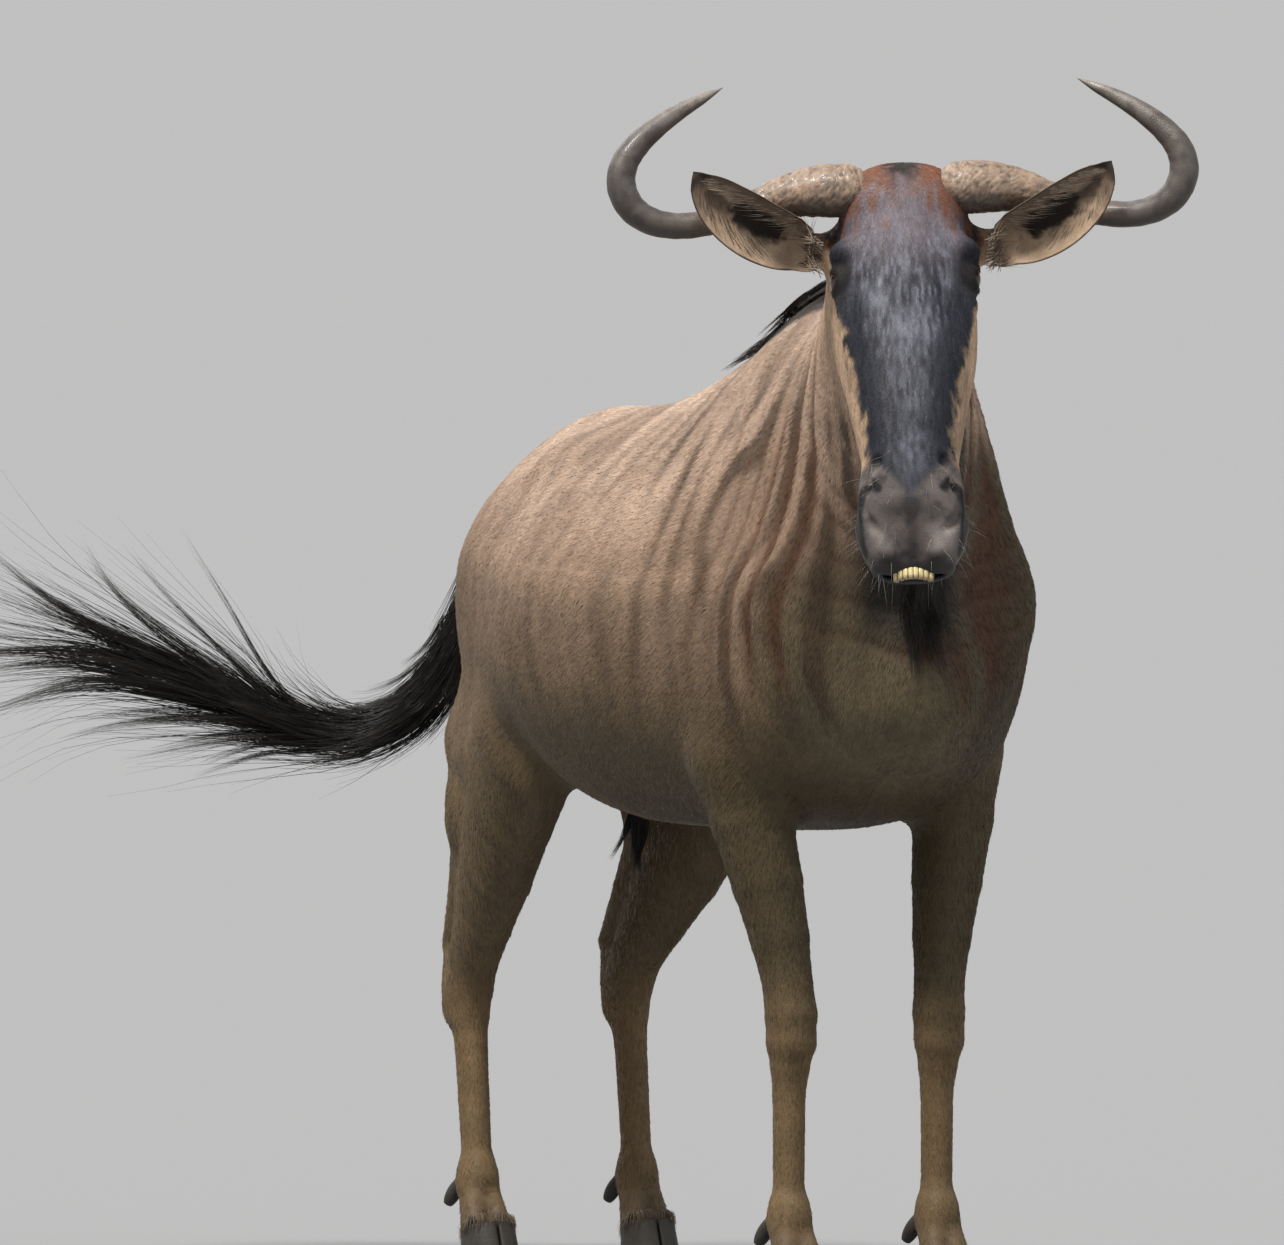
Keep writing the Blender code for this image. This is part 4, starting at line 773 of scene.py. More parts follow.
def tail_line(at):
    """Places and radii along the tail."""
    rows = resampled(TAIL, np.asarray(at, float))
    return rows[:, :3], rows[:, 3]


def on_skin(pairs):
    """Places where lines from inside to outside leave the flesh, with the directions straight out."""
    a, b = np.array(pairs, float).transpose(1, 0, 2)
    for _ in range(22):
        mid = (a + b) / 2
        inside = flesh(mid) < 0
        a[inside] = mid[inside]
        b[~inside] = mid[~inside]
    return a, unit_rows(gradient(flesh, a)[1])


def keep_off(path, side, width, room):
    """The path's points past the root, moved out until the lock's edges clear the skin and the horns."""
    def form(p):
        return np.minimum(flesh(p), horn(p))

    path = path.copy()
    for _ in range(4):
        free = path[1:]
        edges = np.minimum(form(free - side * width / 2), form(free + side * width / 2))
        base, g = gradient(form, free)
        short = np.maximum(room - np.minimum(base, edges), 0.0)
        path[1:] = free + g / np.maximum(np.linalg.norm(g, axis=1, keepdims=True), 0.2) * short[:, None]
    return path


def lock_path(root, out, heading, length, sink, droop, bend, room):
    """From under the root out through it, then along the lie, drooping and bending to one side."""
    steps = 4
    path = [root - out * sink, root + out * room * 0.8]
    spot = path[1]
    way = unit(heading)
    side = unit(np.cross(way, out) + 1e-6)
    for _ in range(steps):
        way = unit(way + np.array((0.0, 0.0, -droop)) / steps + side * bend / steps)
        spot = spot + way * length / steps
        path.append(spot)
    return np.array(path)


def along(line, t):
    """Place, outward direction and running direction at a part t of the way along a root line."""
    spots, outs = line
    at = np.arange(len(spots), dtype=float)
    x = t * (len(spots) - 1)
    spot = resampled(spots, np.array([x]))[0]
    out = unit([np.interp(x, at, outs[:, c]) for c in range(3)])
    i = int(min(x, len(spots) - 2))
    return spot, out, unit(spots[i + 1] - spots[i])


def mane_lie(t, aside, run, out, across, rng):
    """Back along the crest, most of it over to the left side."""
    left = rng.uniform(0.35, 0.9) if rng.random() < 0.75 else -rng.uniform(0.10, 0.30)
    heading = run * 0.85 + out * (0.32 - 0.14 * t) + np.array((left, 0.0, 0.0)) * (1.0 - 0.6 * t)
    return heading, 0.9 * abs(left), (1.0 if left > 0 else 0.8) * (1.0 - 0.3 * t * t)


def throat_lie(t, aside, run, out, across, rng):
    heading = np.array((0.0, 0.0, -1.0)) + out * 0.40 + across * aside * 0.22
    return heading, 0.6, 1.0 - 0.35 * t


def beard_lie(t, aside, run, out, across, rng):
    heading = np.array((0.0, 0.0, -0.8)) + out * 0.6 + across * aside * 0.25
    return heading, 0.7, 0.75 + 0.35 * t


def sheath_lie(t, aside, run, out, across, rng):
    return np.array((0.0, 0.15, -1.0)) + across * aside * 0.3, 0.2, 1.0


# Whole flesh, with each form reckoned only where it is near

def near_form(p, mask, form):
    d = np.full(len(p), 1.0)
    if mask.any():
        d[mask] = form(p[mask])
    return d


def flesh(p):
    y = p[:, 1]
    z = p[:, 2]
    d = near_form(p, (z > 0.42) & (y > -0.42), trunk_forms)
    d = soft_min(d, near_form(p, (y < 0.35) & (z > 0.65), neck), 0.045)
    d = soft_min(d, near_form(p, (y < -0.15) & (z > 0.72), head), 0.030)
    for side in (-1, 1):
        near = (z < 0.90) & (p[:, 0] * side > -0.10)
        d = soft_min(d, near_form(p, near & (y < 0.45), lambda q: foreleg(q, side)), 0.030)
        d = soft_min(d, near_form(p, near & (y > 0.35), lambda q: hindleg(q, side)), 0.030)
    return d


# Chance and noise

def lattice(seed):
    return np.random.default_rng(seed).random((32, 32, 32))


LATTICE = lattice(3)


def noise(p, size, seed=0):
    """Smooth noise from 0 to 1, with features of about the size."""
    q = np.asarray(p, float) / size + seed * 7.31
    cell = np.floor(q).astype(int)
    f = q - cell
    f = f * f * (3.0 - 2.0 * f)
    total = 0.0
    for corner in CORNERS:
        weight = np.prod(np.where(corner, f, 1.0 - f), axis=1)
        at = (cell + corner) % 32
        total = total + weight * LATTICE[at[:, 0], at[:, 1], at[:, 2]]
    return total


def grain(p, size, seed=0):
    """Noise in three sizes, each half as large and half as strong as the one before."""
    return sum(0.5 ** k * noise(p, size / 2 ** k, seed + k) for k in range(3)) / 1.75


def smooth(start, end, x):
    """Zero at the start and one at the end, whichever of them is the higher."""
    t = np.clip((x - start) / (end - start), 0.0, 1.0)
    return t * t * (3.0 - 2.0 * t)


def blend(a, b, t):
    return a + (np.asarray(b) - a) * t[:, None]


def fleck(x, z, wide, tall):
    """One at the middle, fading outward."""
    return np.exp(-(x / wide) ** 2 - (z / tall) ** 2)


# Coat: depth, lie, folds and markings

def head_share(p):
    """One on the head, falling to zero behind the jaw and the poll."""
    q = in_head(p)
    return smooth(0.20, 0.13, q[:, 1]) * smooth(0.12, 0.05, q[:, 2]) * (p[:, 1] < -0.2)


def bare_share(p):
    """One on the muzzle and round the eyes, where the hair is shortest."""
    q = in_head(p)
    m = folded(q)
    muzzle = smooth(-0.36, -0.40, q[:, 2])
    eye = smooth(0.034, 0.022, np.linalg.norm(m - EYE_PLACE, axis=1))
    return np.maximum(muzzle, eye) * head_share(p)


def coat_depth(p):
    depth = 0.0032 - 0.0020 * head_share(p) - 0.0008 * bare_share(p)
    return depth - 0.0010 * smooth(0.60, 0.35, p[:, 2]) * (p[:, 1] > -0.2)


def fold_depth(p):
    """How far the skin's folds sink in: upright ones on neck and shoulder, hoops round the throat."""
    x, y, z = p.T
    wander = noise(p, 0.16, 5) - 0.5
    # Upright folds that fan out from the crest, deepest beside the head
    s = (y + 0.16 * (z - 1.0) + 0.05 * wander) / 0.062
    ridge = 0.5 - 0.5 * np.cos(2 * math.pi * (s + 1.7 * noise(p * (1, 1, 0.6), 0.20, 9)))
    side = smooth(0.035, 0.09, np.abs(x + 0.10 * smooth(0.0, -0.3, y)))
    reach = 1.0 - smooth(-0.16, 0.00, y) * 0.70 - smooth(0.02, 0.20, y) * 0.30
    reach = reach * smooth(-0.36, -0.26, y) * smooth(0.74, 0.86, z) * smooth(1.26, 1.16, z)
    deep = 0.0056 * ridge ** 3 * reach * side * smooth(0.25, 0.6, noise(p, 0.12, 21) + 0.1)
    # Hoops that hang round the throat
    r = np.hypot(y + 0.40, z - 1.22)
    hoop = 0.5 - 0.5 * np.cos(2 * math.pi * (r + 0.03 * wander) / 0.040)
    front = smooth(-0.10, -0.24, y) * smooth(0.76, 0.84, z) * smooth(0.20, 0.26, r) * smooth(0.48, 0.42, r)
    return deep + 0.0020 * hoop ** 3 * front * (1.0 - head_share(p))


def lie_of(p, n):
    """Direction that the hair points in, along the skin."""
    x, y, z = p.T
    still = np.zeros_like(x)
    way = np.stack((0.05 * np.sign(x), still + 0.90, -0.42 - 0.25 * smooth(1.1, 0.75, z)), -1)
    way = blend(way, (0.0, 0.10, -1.0), smooth(0.74, 0.56, z))
    chest = np.stack((0.4 * np.sign(x + 0.02), still + 0.15, still - 1.0), -1)
    way = blend(way, chest, smooth(0.02, -0.16, y) * smooth(1.15, 0.95, z))
    way = blend(way, (0.25, 0.75, -0.75), smooth(-0.10, -0.30, y) * smooth(0.95, 1.10, z))
    # Down the face and outward over the cheeks
    q = in_head(p)
    face = np.stack((0.30 * q[:, 0] / 0.07, still + 0.10, still - 1.0), -1)
    crown = np.stack((q[:, 0] / 0.03, still - 0.2, still - 0.4), -1)
    face = blend(face, crown, smooth(-0.07, -0.02, q[:, 2])) @ HEAD_AXES.T
    way = blend(way, face, head_share(p))
    way = way + 0.22 * np.stack([noise(p, 0.07, 31 + a) - 0.5 for a in range(3)], -1)
    return unit_rows(way - n * (way * n).sum(1, keepdims=True))


def stripe_share(p):
    """Dark upright stripes on neck, shoulder and ribs, soft and broken."""
    y, z = p[:, 1], p[:, 2]
    wander = noise(p, 0.14, 41) - 0.5
    s = (y + 0.20 * (z - 1.0) + 0.10 * wander) / 0.074 + 2.2 * (noise(p, 0.26, 43) - 0.5)
    line = smooth(0.30, 0.95, 0.5 + 0.5 * np.cos(2 * math.pi * s))
    broken = smooth(0.25, 0.65, noise(p * (1, 1, 0.30), 0.045, 47) + 0.10)
    patchy = 0.45 + 0.55 * smooth(0.35, 0.65, noise(p, 0.20, 49))
    area = smooth(-0.40, -0.30, y) * (1.0 - 0.65 * smooth(0.16, 0.34, y)) * smooth(0.80, 0.50, y)
    area = area * smooth(0.66, 0.80, z) * (1.0 - 0.75 * smooth(1.08, 1.20, z))
    return line * broken * patchy * area


def muzzle_colour(q, p):
    """Grey muzzle: pale over the lip and at the nostrils' upper ends, dark in the middle and at the lips,
    with painted shadow in the nostrils and along the mouth line.
    """
    m = np.abs(q[:, 0])
    lz = q[:, 2]
    grey = blend(MUZZLE, MUZZLE_DARK, 0.7 * smooth(0.45, 0.75, grain(p, 0.010, 61)))
    lip = fleck(m - 0.038, lz + 0.478, 0.016, 0.015) * (0.75 + 0.25 * np.sign(q[:, 0]))
    wing = fleck(m - 0.051, lz + 0.396, 0.009, 0.010)
    grey = blend(grey, MUZZLE_PALE, np.clip(0.95 * lip + 0.75 * wing, 0, 1))
    band = smooth(0.046, 0.030, m) * np.exp(-((lz + 0.450) / 0.014) ** 2)
    centre = fleck(m, lz + 0.442, 0.011, 0.012)
    middle = smooth(0.010, 0.002, m) * smooth(-0.440, -0.455, lz)
    lips = smooth(-0.492, -0.506, lz)
    grey = blend(grey, MUZZLE_DARK, np.clip(0.55 * band + centre + 0.5 * middle + 0.9 * lips, 0, 1))
    grey = blend(grey, MUZZLE_DARK, smooth(0.062, 0.080, q[:, 1]) * smooth(-0.36, -0.40, lz))
    shade = groove(np.stack((m, 0 * m, lz), -1), NOSTRIL_SHADE, 0.0042)
    grey = blend(grey, NOSTRIL_AND_MOUTH_SHADOW, smooth(0.0040, -0.0010, shade) * (q[:, 1] < 0.062))
    # Painted shadow along the cut of the mouth
    return blend(grey, NOSTRIL_AND_MOUTH_SHADOW, smooth(0.006, 0.0, groove(folded(q), MOUTH, MOUTH_RADIUS)))


def body_colour(p):
    """Markings of the body, neck and legs."""
    x, y, z = p.T
    mottle = grain(p, 0.10, 51)
    uneven = mottle - 0.5
    # Paler along the back and rump, partly painted light from above, and browner low down and under the
    # belly, partly painted shade
    c = blend(TAN, TAN_LIT_TOP, 0.75 * smooth(0.96, 1.16, z + 0.08 * (y > 0.2)) * smooth(0.2, 0.7, mottle))
    c = blend(c, BROWN_AND_LOW_SHADE, smooth(0.98, 0.70, z + 0.10 * uneven))
    c = blend(c, BELLY_AND_SHADE, smooth(0.70, 0.605, z + 0.02 * uneven))
    # Paler upper neck, partly painted light from above
    c = blend(c, NECK_TAN_LIT, smooth(-0.05, -0.25, y) * smooth(0.95, 1.10, z))
    chest = smooth(-0.06, -0.16, y) * smooth(1.00, 0.82, z + 0.06 * uneven)
    # Painted shade: a darker copy of the chest's colour on its far side, turned from the key light
    far_shade = smooth(0.00, 0.10, x - 0.35 * (y + 0.20)) * smooth(0.00, -0.10, y) * smooth(1.14, 1.02, z)
    c = blend(c, CHEST, np.maximum(chest, far_shade))
    c = blend(c, CHEST_SHADED, 0.8 * far_shade)
    # Thighs duller and darker, partly painted shade; legs brown above and rufous below
    c = blend(c, THIGH_AND_SHADE, 0.8 * smooth(0.66, 0.88, y) * smooth(1.02, 0.84, z))
    upper = np.where((y < 0.45)[:, None], FORE_LEG, HIND_LEG)
    c = blend(c, upper, smooth(0.72, 0.60, z) * smooth(0.0, 0.02, np.abs(x)))
    c = blend(c, SHANK, 0.8 * smooth(0.46, 0.30, z + 0.04 * uneven))
    c = blend(c, HOOF_HAIR, 0.7 * smooth(0.13, 0.07, z))
    c = blend(c, STRIPE, np.minimum(0.85, 1.25 * stripe_share(p)))
    # Painted shade in the creases of the skin's folds, darker where they sink deeper
    c = blend(c, FOLD_SHADE, 0.85 * np.clip(fold_depth(p) / 0.0032, 0, 1))
    # Dark wedge down the throat, black hair deepened by painted shade under the neck, and the black crest
    # over to the right
    throat = smooth(0.085, 0.045, np.abs(x + 0.02 - 0.35 * (y + 0.20))) * smooth(-0.14, -0.20, y)
    throat = throat * smooth(0.80, 0.90, z) * smooth(1.20, 1.08, z) * (1.0 - head_share(p))
    c = blend(c, BLACK_HAIR_AND_SHADE, 0.95 * throat)
    crest = smooth(0.036, 0.024, np.abs(x - crest_x(y) + 0.014)) * (z > 1.10) * smooth(0.36, 0.22, y)
    return blend(c, BLACK_HAIR_AND_SHADE, 0.95 * crest)


def blaze_inside(q, m, lz):
    """How far inside the edge of the dark front of the face, towards its middle."""
    heights = (-0.42, -0.36, -0.28, -0.20, -0.13, -0.05)
    half = np.interp(lz, heights, (0.046, 0.052, 0.061, 0.080, 0.105, 0.12))
    return half - m - 0.6 * np.maximum(q[:, 1] - 0.03, 0)


def painted_face_sheen(q, m, lz, broad):
    """Painted sheen: silver highlight in fine streaks down the middle of the face, for the sky's reflection
    on its black hair.
    """
    streak = noise(q * (1, 0.6, 0.22), 0.0030, 59)
    high = np.interp(lz, (-0.42, -0.385, -0.34, -0.28, -0.14, -0.04), (0.12, 0.50, 0.32, 0.55, 1.0, 0.5))
    wide = np.interp(lz, (-0.40, -0.26, -0.15), (0.010, 0.016, 0.045))
    sheen_share = 1.25 * smooth(0.22, 0.95, 0.60 * streak + 0.40 * broad) * high
    return sheen_share * (1.0 - 0.90 * smooth(0.0, 0.030, m - wide + 0.020 * (broad - 0.5)))


def head_colour(q, p):
    """Markings of the head: black face with painted silver sheen, rust crown, tan cheeks and grey muzzle."""
    m = np.abs(q[:, 0])
    lz = q[:, 2]
    broad = noise(q * (1, 0.6, 0.50), 0.022, 65)
    cheek = blend(CHEEK, CHEEK_DARK, 0.45 * smooth(0.40, 0.80, grain(p, 0.04, 53)))
    # Upper forehead paler: brownish hair with painted sky reflection
    face = blend(FACE, FOREHEAD_HAIR_AND_SHEEN, 0.9 * smooth(-0.17, -0.06, lz) * smooth(0.085, 0.055, m))
    # Painted sheen: silver streaks down the face for the sky's reflection on its black hair
    face = blend(face, PAINTED_SILVER_SHEEN, painted_face_sheen(q, m, lz, broad))
    inside = blaze_inside(q, m, lz) - 0.020 * (grain(p, 0.012, 57) - 0.5)
    h = blend(cheek, face, smooth(-0.006, 0.006, inside))
    # Rust crown with a black middle, and the dark underside of the jaw, black hair with painted shade under
    # it
    tufty = noise(q * (1, 1, 0.22), 0.006, 67) - 0.5
    rust = smooth(-0.070, -0.012, lz + 0.085 * tufty + 0.35 * np.clip(m - 0.03, 0, 0.05))
    h = blend(h, RUST, 0.95 * rust * (0.35 + 0.65 * smooth(0.004, 0.028, m)))
    middle = smooth(-0.022, 0.004, lz + 0.03 * tufty) * smooth(0.024, 0.010, m + 0.02 * tufty)
    h = blend(h, BLACK_HAIR_AND_SHADE, 0.9 * middle)
    under = smooth(0.085, 0.125, q[:, 1] + 0.25 * (lz + 0.35)) * smooth(0.055, 0.030, m)
    h = blend(h, BLACK_HAIR_AND_SHADE, 0.85 * under * (lz < -0.10))
    # Dark round the eye, and painted shadow before it
    mirror = folded(q)
    eye = smooth(0.040, 0.022, np.linalg.norm((mirror - EYE_PLACE) * (1, 1, 0.8), axis=1))
    before = smooth(0.030, 0.014, np.linalg.norm((mirror - EYE_SHADE) * (1, 1, 0.9), axis=1))
    h = blend(h, EYE_RIM_AND_SHADOW, np.maximum(0.95 * eye, 0.9 * before))
    point = 0.026 * np.clip(1.0 - m / 0.024, 0, 1) + 0.008 * (broad - 0.5)
    nose = smooth(-0.398, -0.412, lz + point - 0.022 * smooth(0.026, 0.044, m))
    return blend(h, muzzle_colour(q, p), nose)


def coat_colour(p):
    c = blend(body_colour(p), head_colour(in_head(p), p), head_share(p))
    # Fine variation from hair to hair, along the lie and from patch to patch
    c = c * (0.84 + 0.32 * noise(p, 0.006, 63))[:, None]
    c = c * (0.82 + 0.36 * grain(p * (1, 1, 0.35), 0.022, 69))[:, None]
    return np.clip(c * (0.88 + 0.24 * grain(p, 0.10, 51))[:, None], 0.002, 0.9)


def crest_x(y):
    """Middle of the crest, across the body."""
    line = np.array(CREST)
    return np.interp(y, line[:, 1], line[:, 0])


# Unwrap of the skin: a strip each for the body, the head and the four legs

def part_of(p):
    """Zero for the body, one for the head, two to five for the legs."""
    part = np.zeros(len(p), int)
    leg = (p[:, 2] < 0.60) & (p[:, 1] > -0.25)
    part[leg] = 2 + (p[leg, 0] > 0) + 2 * (p[leg, 1] > 0.45)
    part[head_share(p) > 0.5] = 1
    return part


def round_and_along(p, part):
    """Angle round the part, and length along it from 0 to 1."""
    x, y, z = p.T
    angle = np.arctan2(x, np.where(y < -0.2, z - 1.1, z - 0.88))
    along = (y + 0.42) / 1.66
    q = in_head(p)
    angle = np.where(part == 1, np.arctan2(q[:, 0], -(q[:, 1] - 0.08)), angle)
    along = np.where(part == 1, (q[:, 2] + 0.54) / 0.62, along)
    leg = part >= 2
    fore = part < 4
    hind_y = np.interp(z, (0.1, 0.33, 0.43, 0.60), (1.0, 1.036, 1.03, 0.88))
    mid_y = np.where(fore, 0.06 * smooth(0.4, 0.6, z), hind_y)
    mid_x = np.where(fore, 0.10, 0.113) * np.where(part % 2 == 1, 1, -1)
    angle = np.where(leg, np.arctan2(x - mid_x, -(y - mid_y)), angle)
    along = np.where(leg, z / 0.62, along)
    return angle / (2 * math.pi), along


# Left, bottom, width and height of each part's patch on the atlas, in the order of part_of
PATCHES = ((0.02, 0.02, 0.62, 0.74), (0.68, 0.02, 0.30, 0.26)) + tuple(
    (0.68, bottom, 0.30, 0.13) for bottom in (0.32, 0.48, 0.64, 0.80))


def unwrap(p, part, near=None):
    """Place on the unwrap; near is the angle that each point stays close to."""
    turn, along = round_and_along(p, part)
    if near is not None:
        turn = turn - np.round(turn - near)
    box = np.array(PATCHES)[part]
    return np.stack((box[:, 0] + box[:, 2] * along, box[:, 1] + box[:, 3] * (turn + 0.5)), -1)


def give_uv(obj, uv):
    layer = obj.data.uv_layers.new(name="OFBake")
    layer.data.foreach_set("uv", np.ascontiguousarray(uv, np.float32).ravel())


# Meshes from arrays

def mesh_object(name, points, faces, colour, normals=None):
    """Object from places in the body's axes, with a colour at each point."""
    mesh = bpy.data.meshes.new(name)
    points = np.asarray(points + SHIFT, np.float32)
    faces = np.asarray(faces, np.int32)
    sides = faces.shape[1]
    mesh.vertices.add(len(points))
    mesh.vertices.foreach_set("co", points.ravel())
    mesh.loops.add(faces.size)
    mesh.loops.foreach_set("vertex_index", faces.ravel())
    mesh.polygons.add(len(faces))
    mesh.polygons.foreach_set("loop_start", np.arange(0, faces.size, sides, dtype=np.int32))
    mesh.polygons.foreach_set("loop_total", np.full(len(faces), sides, np.int32))
    mesh.polygons.foreach_set("use_smooth", np.ones(len(faces), bool))
    mesh.update(calc_edges=True)
    layer = mesh.color_attributes.new("hair", "FLOAT_COLOR", "POINT")
    rgba = np.ones((len(points), 4), np.float32)
    rgba[:, :3] = colour
    layer.data.foreach_set("color", rgba.ravel())
    if normals is not None:
        mesh.normals_split_custom_set_from_vertices(normals.astype(np.float32))
    obj = bpy.data.objects.new(name, mesh)
    bpy.context.scene.collection.objects.link(obj)
    return obj


# Skin

def skin_form(p):
    return flesh(p) + coat_depth(p)


def triangles(quads, *more):
    """Every quad as two triangles, and then more triangles."""
    return np.concatenate((quads[:, (0, 1, 2)], quads[:, (0, 2, 3)], *more))


def rim_of(faces, count):
    """Points along the open edge, in order."""
    pairs = np.concatenate([np.stack((faces[:, i], faces[:, (i + 1) % 4]), -1) for i in range(4)])
    keys = pairs[:, 0] * count + pairs[:, 1]
    back = pairs[:, 1] * count + pairs[:, 0]
    open_pairs = pairs[~np.isin(keys, back)]
    after = dict(map(tuple, open_pairs))
    ring = [int(open_pairs[0, 0])]
    while after[ring[-1]] != ring[0]:
        ring.append(after[ring[-1]])
    return np.array(ring)


def side_of_seam(low, high, step, sign):
    """Open half of the skin on one side of the seam, and the points of its rim."""
    def half(p):
        return np.maximum(skin_form(p), sign * (p[:, 1] - SEAM_Y))

    points, faces = surface_of(half, low, high, step)
    kept = (sign * (points[:, 1] - SEAM_Y) < -1.05 * step)[faces].all(axis=1)
    faces = faces[kept]
    used = np.unique(faces)
    place = np.full(len(points), -1)
    place[used] = np.arange(len(used))
    points = points[used]
    faces = place[faces]
    return points, faces, rim_of(faces, len(points))


def from_top(points, ring, centre):
    """The rim from its highest point round, with the angle at each point growing from zero to a full turn."""
    d = points[ring] - centre
    angle = np.unwrap(np.arctan2(d[:, 0], d[:, 2]))
    if angle[-1] < angle[0]:
        ring = ring[::-1]
    d = points[ring] - centre
    top = int(np.argmin(np.abs(np.arctan2(d[:, 0], d[:, 2]))))
    ring = np.roll(ring, -top)
    d = points[ring] - centre
    angle = np.unwrap(np.arctan2(d[:, 0], d[:, 2]))
    return ring, np.maximum.accumulate(angle - angle[0])


def sew(points, ring_a, ring_b):
    """Triangles between two rims of different counts."""
    centre = points[ring_a].mean(0)
    a, ta = from_top(points, ring_a, centre)
    b, tb = from_top(points, ring_b, centre)
    ta = np.append(ta, 2 * math.pi)
    tb = np.append(tb, 2 * math.pi)
    faces = []
    i = j = 0
    while i < len(a) or j < len(b):
        if j >= len(b) or (i < len(a) and ta[i + 1] <= tb[j + 1]):
            faces.append((a[i], a[(i + 1) % len(a)], b[j % len(b)]))
            i += 1
        else:
            faces.append((a[i % len(a)], b[(j + 1) % len(b)], b[j]))
            j += 1
    return np.array(faces)


def build_skin():
    pa, fa, ra = side_of_seam((-0.40, -0.80, 0.80), (0.20, -0.24, 1.50), HEAD_STEP, 1)
    pb, fb, rb = side_of_seam((-0.34, -0.34, 0.02), (0.34, 1.30, 1.40), BODY_STEP, -1)
    points = np.concatenate((pa, pb))
    sewn = sew(points, ra, rb + len(pa))
    quads = np.concatenate((fa, fb + len(pa)))
    tris = triangles(quads, sewn)
    points = settled(skin_form, points)
    points = points - unit_rows(gradient(flesh, points)[1]) * fold_depth(points)[:, None]
    a, b, c = (points[tris[:, k]] for k in range(3))
    # Every face turned outward, in the nets and in the sewn band
    first = len(tris) - len(sewn)
    for pick in (slice(0, first, 50), slice(first, None)):
        facing = np.cross(b[pick] - a[pick], c[pick] - a[pick])
        out = gradient(flesh, (a[pick] + b[pick] + c[pick]) / 3)[1]
        if (facing * out).sum() < 0:
            whole = slice(0, first) if pick.start == 0 else pick
            tris[whole] = tris[whole][:, ::-1]
    return points, tris


def vertex_normals(points, tris):
    a, b, c = (points[tris[:, k]] for k in range(3))
    n = np.cross(b - a, c - a)
    total = np.zeros_like(points)
    for k in range(3):
        np.add.at(total, tris[:, k], n)
    return unit_rows(total)


# Tufts of the short coat

def tuft_plan(points, tris, normals, rng):
    """Roots spread over the skin, closer where the tufts are smaller."""
    a, b, c = (points[tris[:, k]] for k in range(3))
    area = np.linalg.norm(np.cross(b - a, c - a), axis=1) / 2
    mid = (a + b + c) / 3
    share = head_share(mid)
    bare = bare_share(mid)
    low = smooth(0.62, 0.30, mid[:, 2])
    per_area = TUFTS_BODY + (TUFTS_HEAD - TUFTS_BODY) * share + (TUFTS_LEG - TUFTS_BODY) * low * (1 - share)
    per_area = per_area * (1.0 - 0.55 * bare)
    want = area * per_area
    count = np.floor(want + rng.random(len(want))).astype(int)
    tri = np.repeat(np.arange(len(tris)), count)
    u = rng.random((len(tri), 2))
    flip = u.sum(1) > 1
    u[flip] = 1 - u[flip]
    w = np.stack((1 - u.sum(1), u[:, 0], u[:, 1]), -1)
    corner = tris[tri]
    root = (points[corner] * w[:, :, None]).sum(1)
    normal = unit_rows((normals[corner] * w[:, :, None]).sum(1))
    return root, normal


def build_tufts(points, tris, normals, mat):
    """Short coat of four-sided tufts, in pieces from the head back."""
    rng = np.random.default_rng(71)
    root, normal = tuft_plan(points, tris, normals, rng)
    # The wet nose between and in front of the nostrils stays bare
    keep = (in_head(root)[:, 2] >= NOSE_TOP) | (head_share(root) < 0.5)
    root = root[keep]
    normal = normal[keep]
    way = lie_of(root, normal)
    colour = coat_colour(root)
    share = head_share(root)
    low = smooth(0.62, 0.30, root[:, 2]) * (1 - share)
    n = len(root)
    length = 0.0120 - 0.0055 * share - 0.0030 * low - 0.0030 * bare_share(root)
    length = length * rng.uniform(0.7, 1.25, n)
    width = (0.0019 - 0.0009 * share - 0.0005 * low) * rng.uniform(0.7, 1.2, n)
    way = unit_rows(way + np.cross(way, normal) * rng.normal(0.0, 0.10, n)[:, None])
    lift = length * rng.uniform(0.03, 0.15, n)
    half = np.cross(way, normal) * width[:, None] / 2
    foot = root - normal * 0.0006
    tip = root + way * length[:, None] + normal * lift[:, None]
    ridge = root + way * (length * 0.12)[:, None] + normal * (width * 0.35)[:, None]
    corners = np.stack((foot - half, foot + half, ridge, tip), 1)
    # The dark tufts of the face vary more in tone; their paler ones are partly painted sheen
    spread = 0.24 + 0.22 * share * smooth(0.30, 0.10, colour.max(1))
    colour = np.clip(colour * (1.0 + spread * rng.uniform(-1.0, 1.2, n))[:, None], 0.002, 0.95)
    place = unwrap(root, part_of(root))
    patch = (np.array(((0, 0), (1, 0), (0, 1), (1, 1))) - 0.5) * HAIR_PATCH
    face = np.array(((0, 1, 2), (0, 2, 3), (2, 1, 3), (1, 0, 3)))
    order = np.argsort(root[:, 1], kind="stable")
    for k, first in enumerate(range(0, n, TUFTS_IN_PIECE)):
        pick = order[first:first + TUFTS_IN_PIECE]
        tuft = corners[pick]
        faces = (np.arange(len(pick))[:, None, None] * 4 + face).reshape(-1, 3)
        away = unit_rows((tuft - tuft.mean(1, keepdims=True)).reshape(-1, 3))
        shade = unit_rows(np.repeat(normal[pick], 4, axis=0) + 0.10 * away)
        tone = np.repeat(colour[pick], 4, axis=0)
        obj = mesh_object("coat_tufts_%02d" % k, tuft.reshape(-1, 3), faces, tone, shade)
        give_uv(obj, (place[pick][:, None] + patch)[:, face.ravel()].reshape(-1, 2))
        finish_piece(obj, mat, [], "torso")


# Strands of the long hair

def hair(line, across, face, r):
    """Rings of three points along a hair: on both sides of it and on its face."""
    return np.stack((line - across * r, line + across * r, line + face * r), -2)


def hair_frame(line, normal):
    """Directions across a hair and out of its face, for a hair that grows from a skin with this normal."""
    axis = unit_rows(np.gradient(line, axis=0))
    across = unit_rows(np.cross(axis, normal))
    return across, np.cross(across, axis)


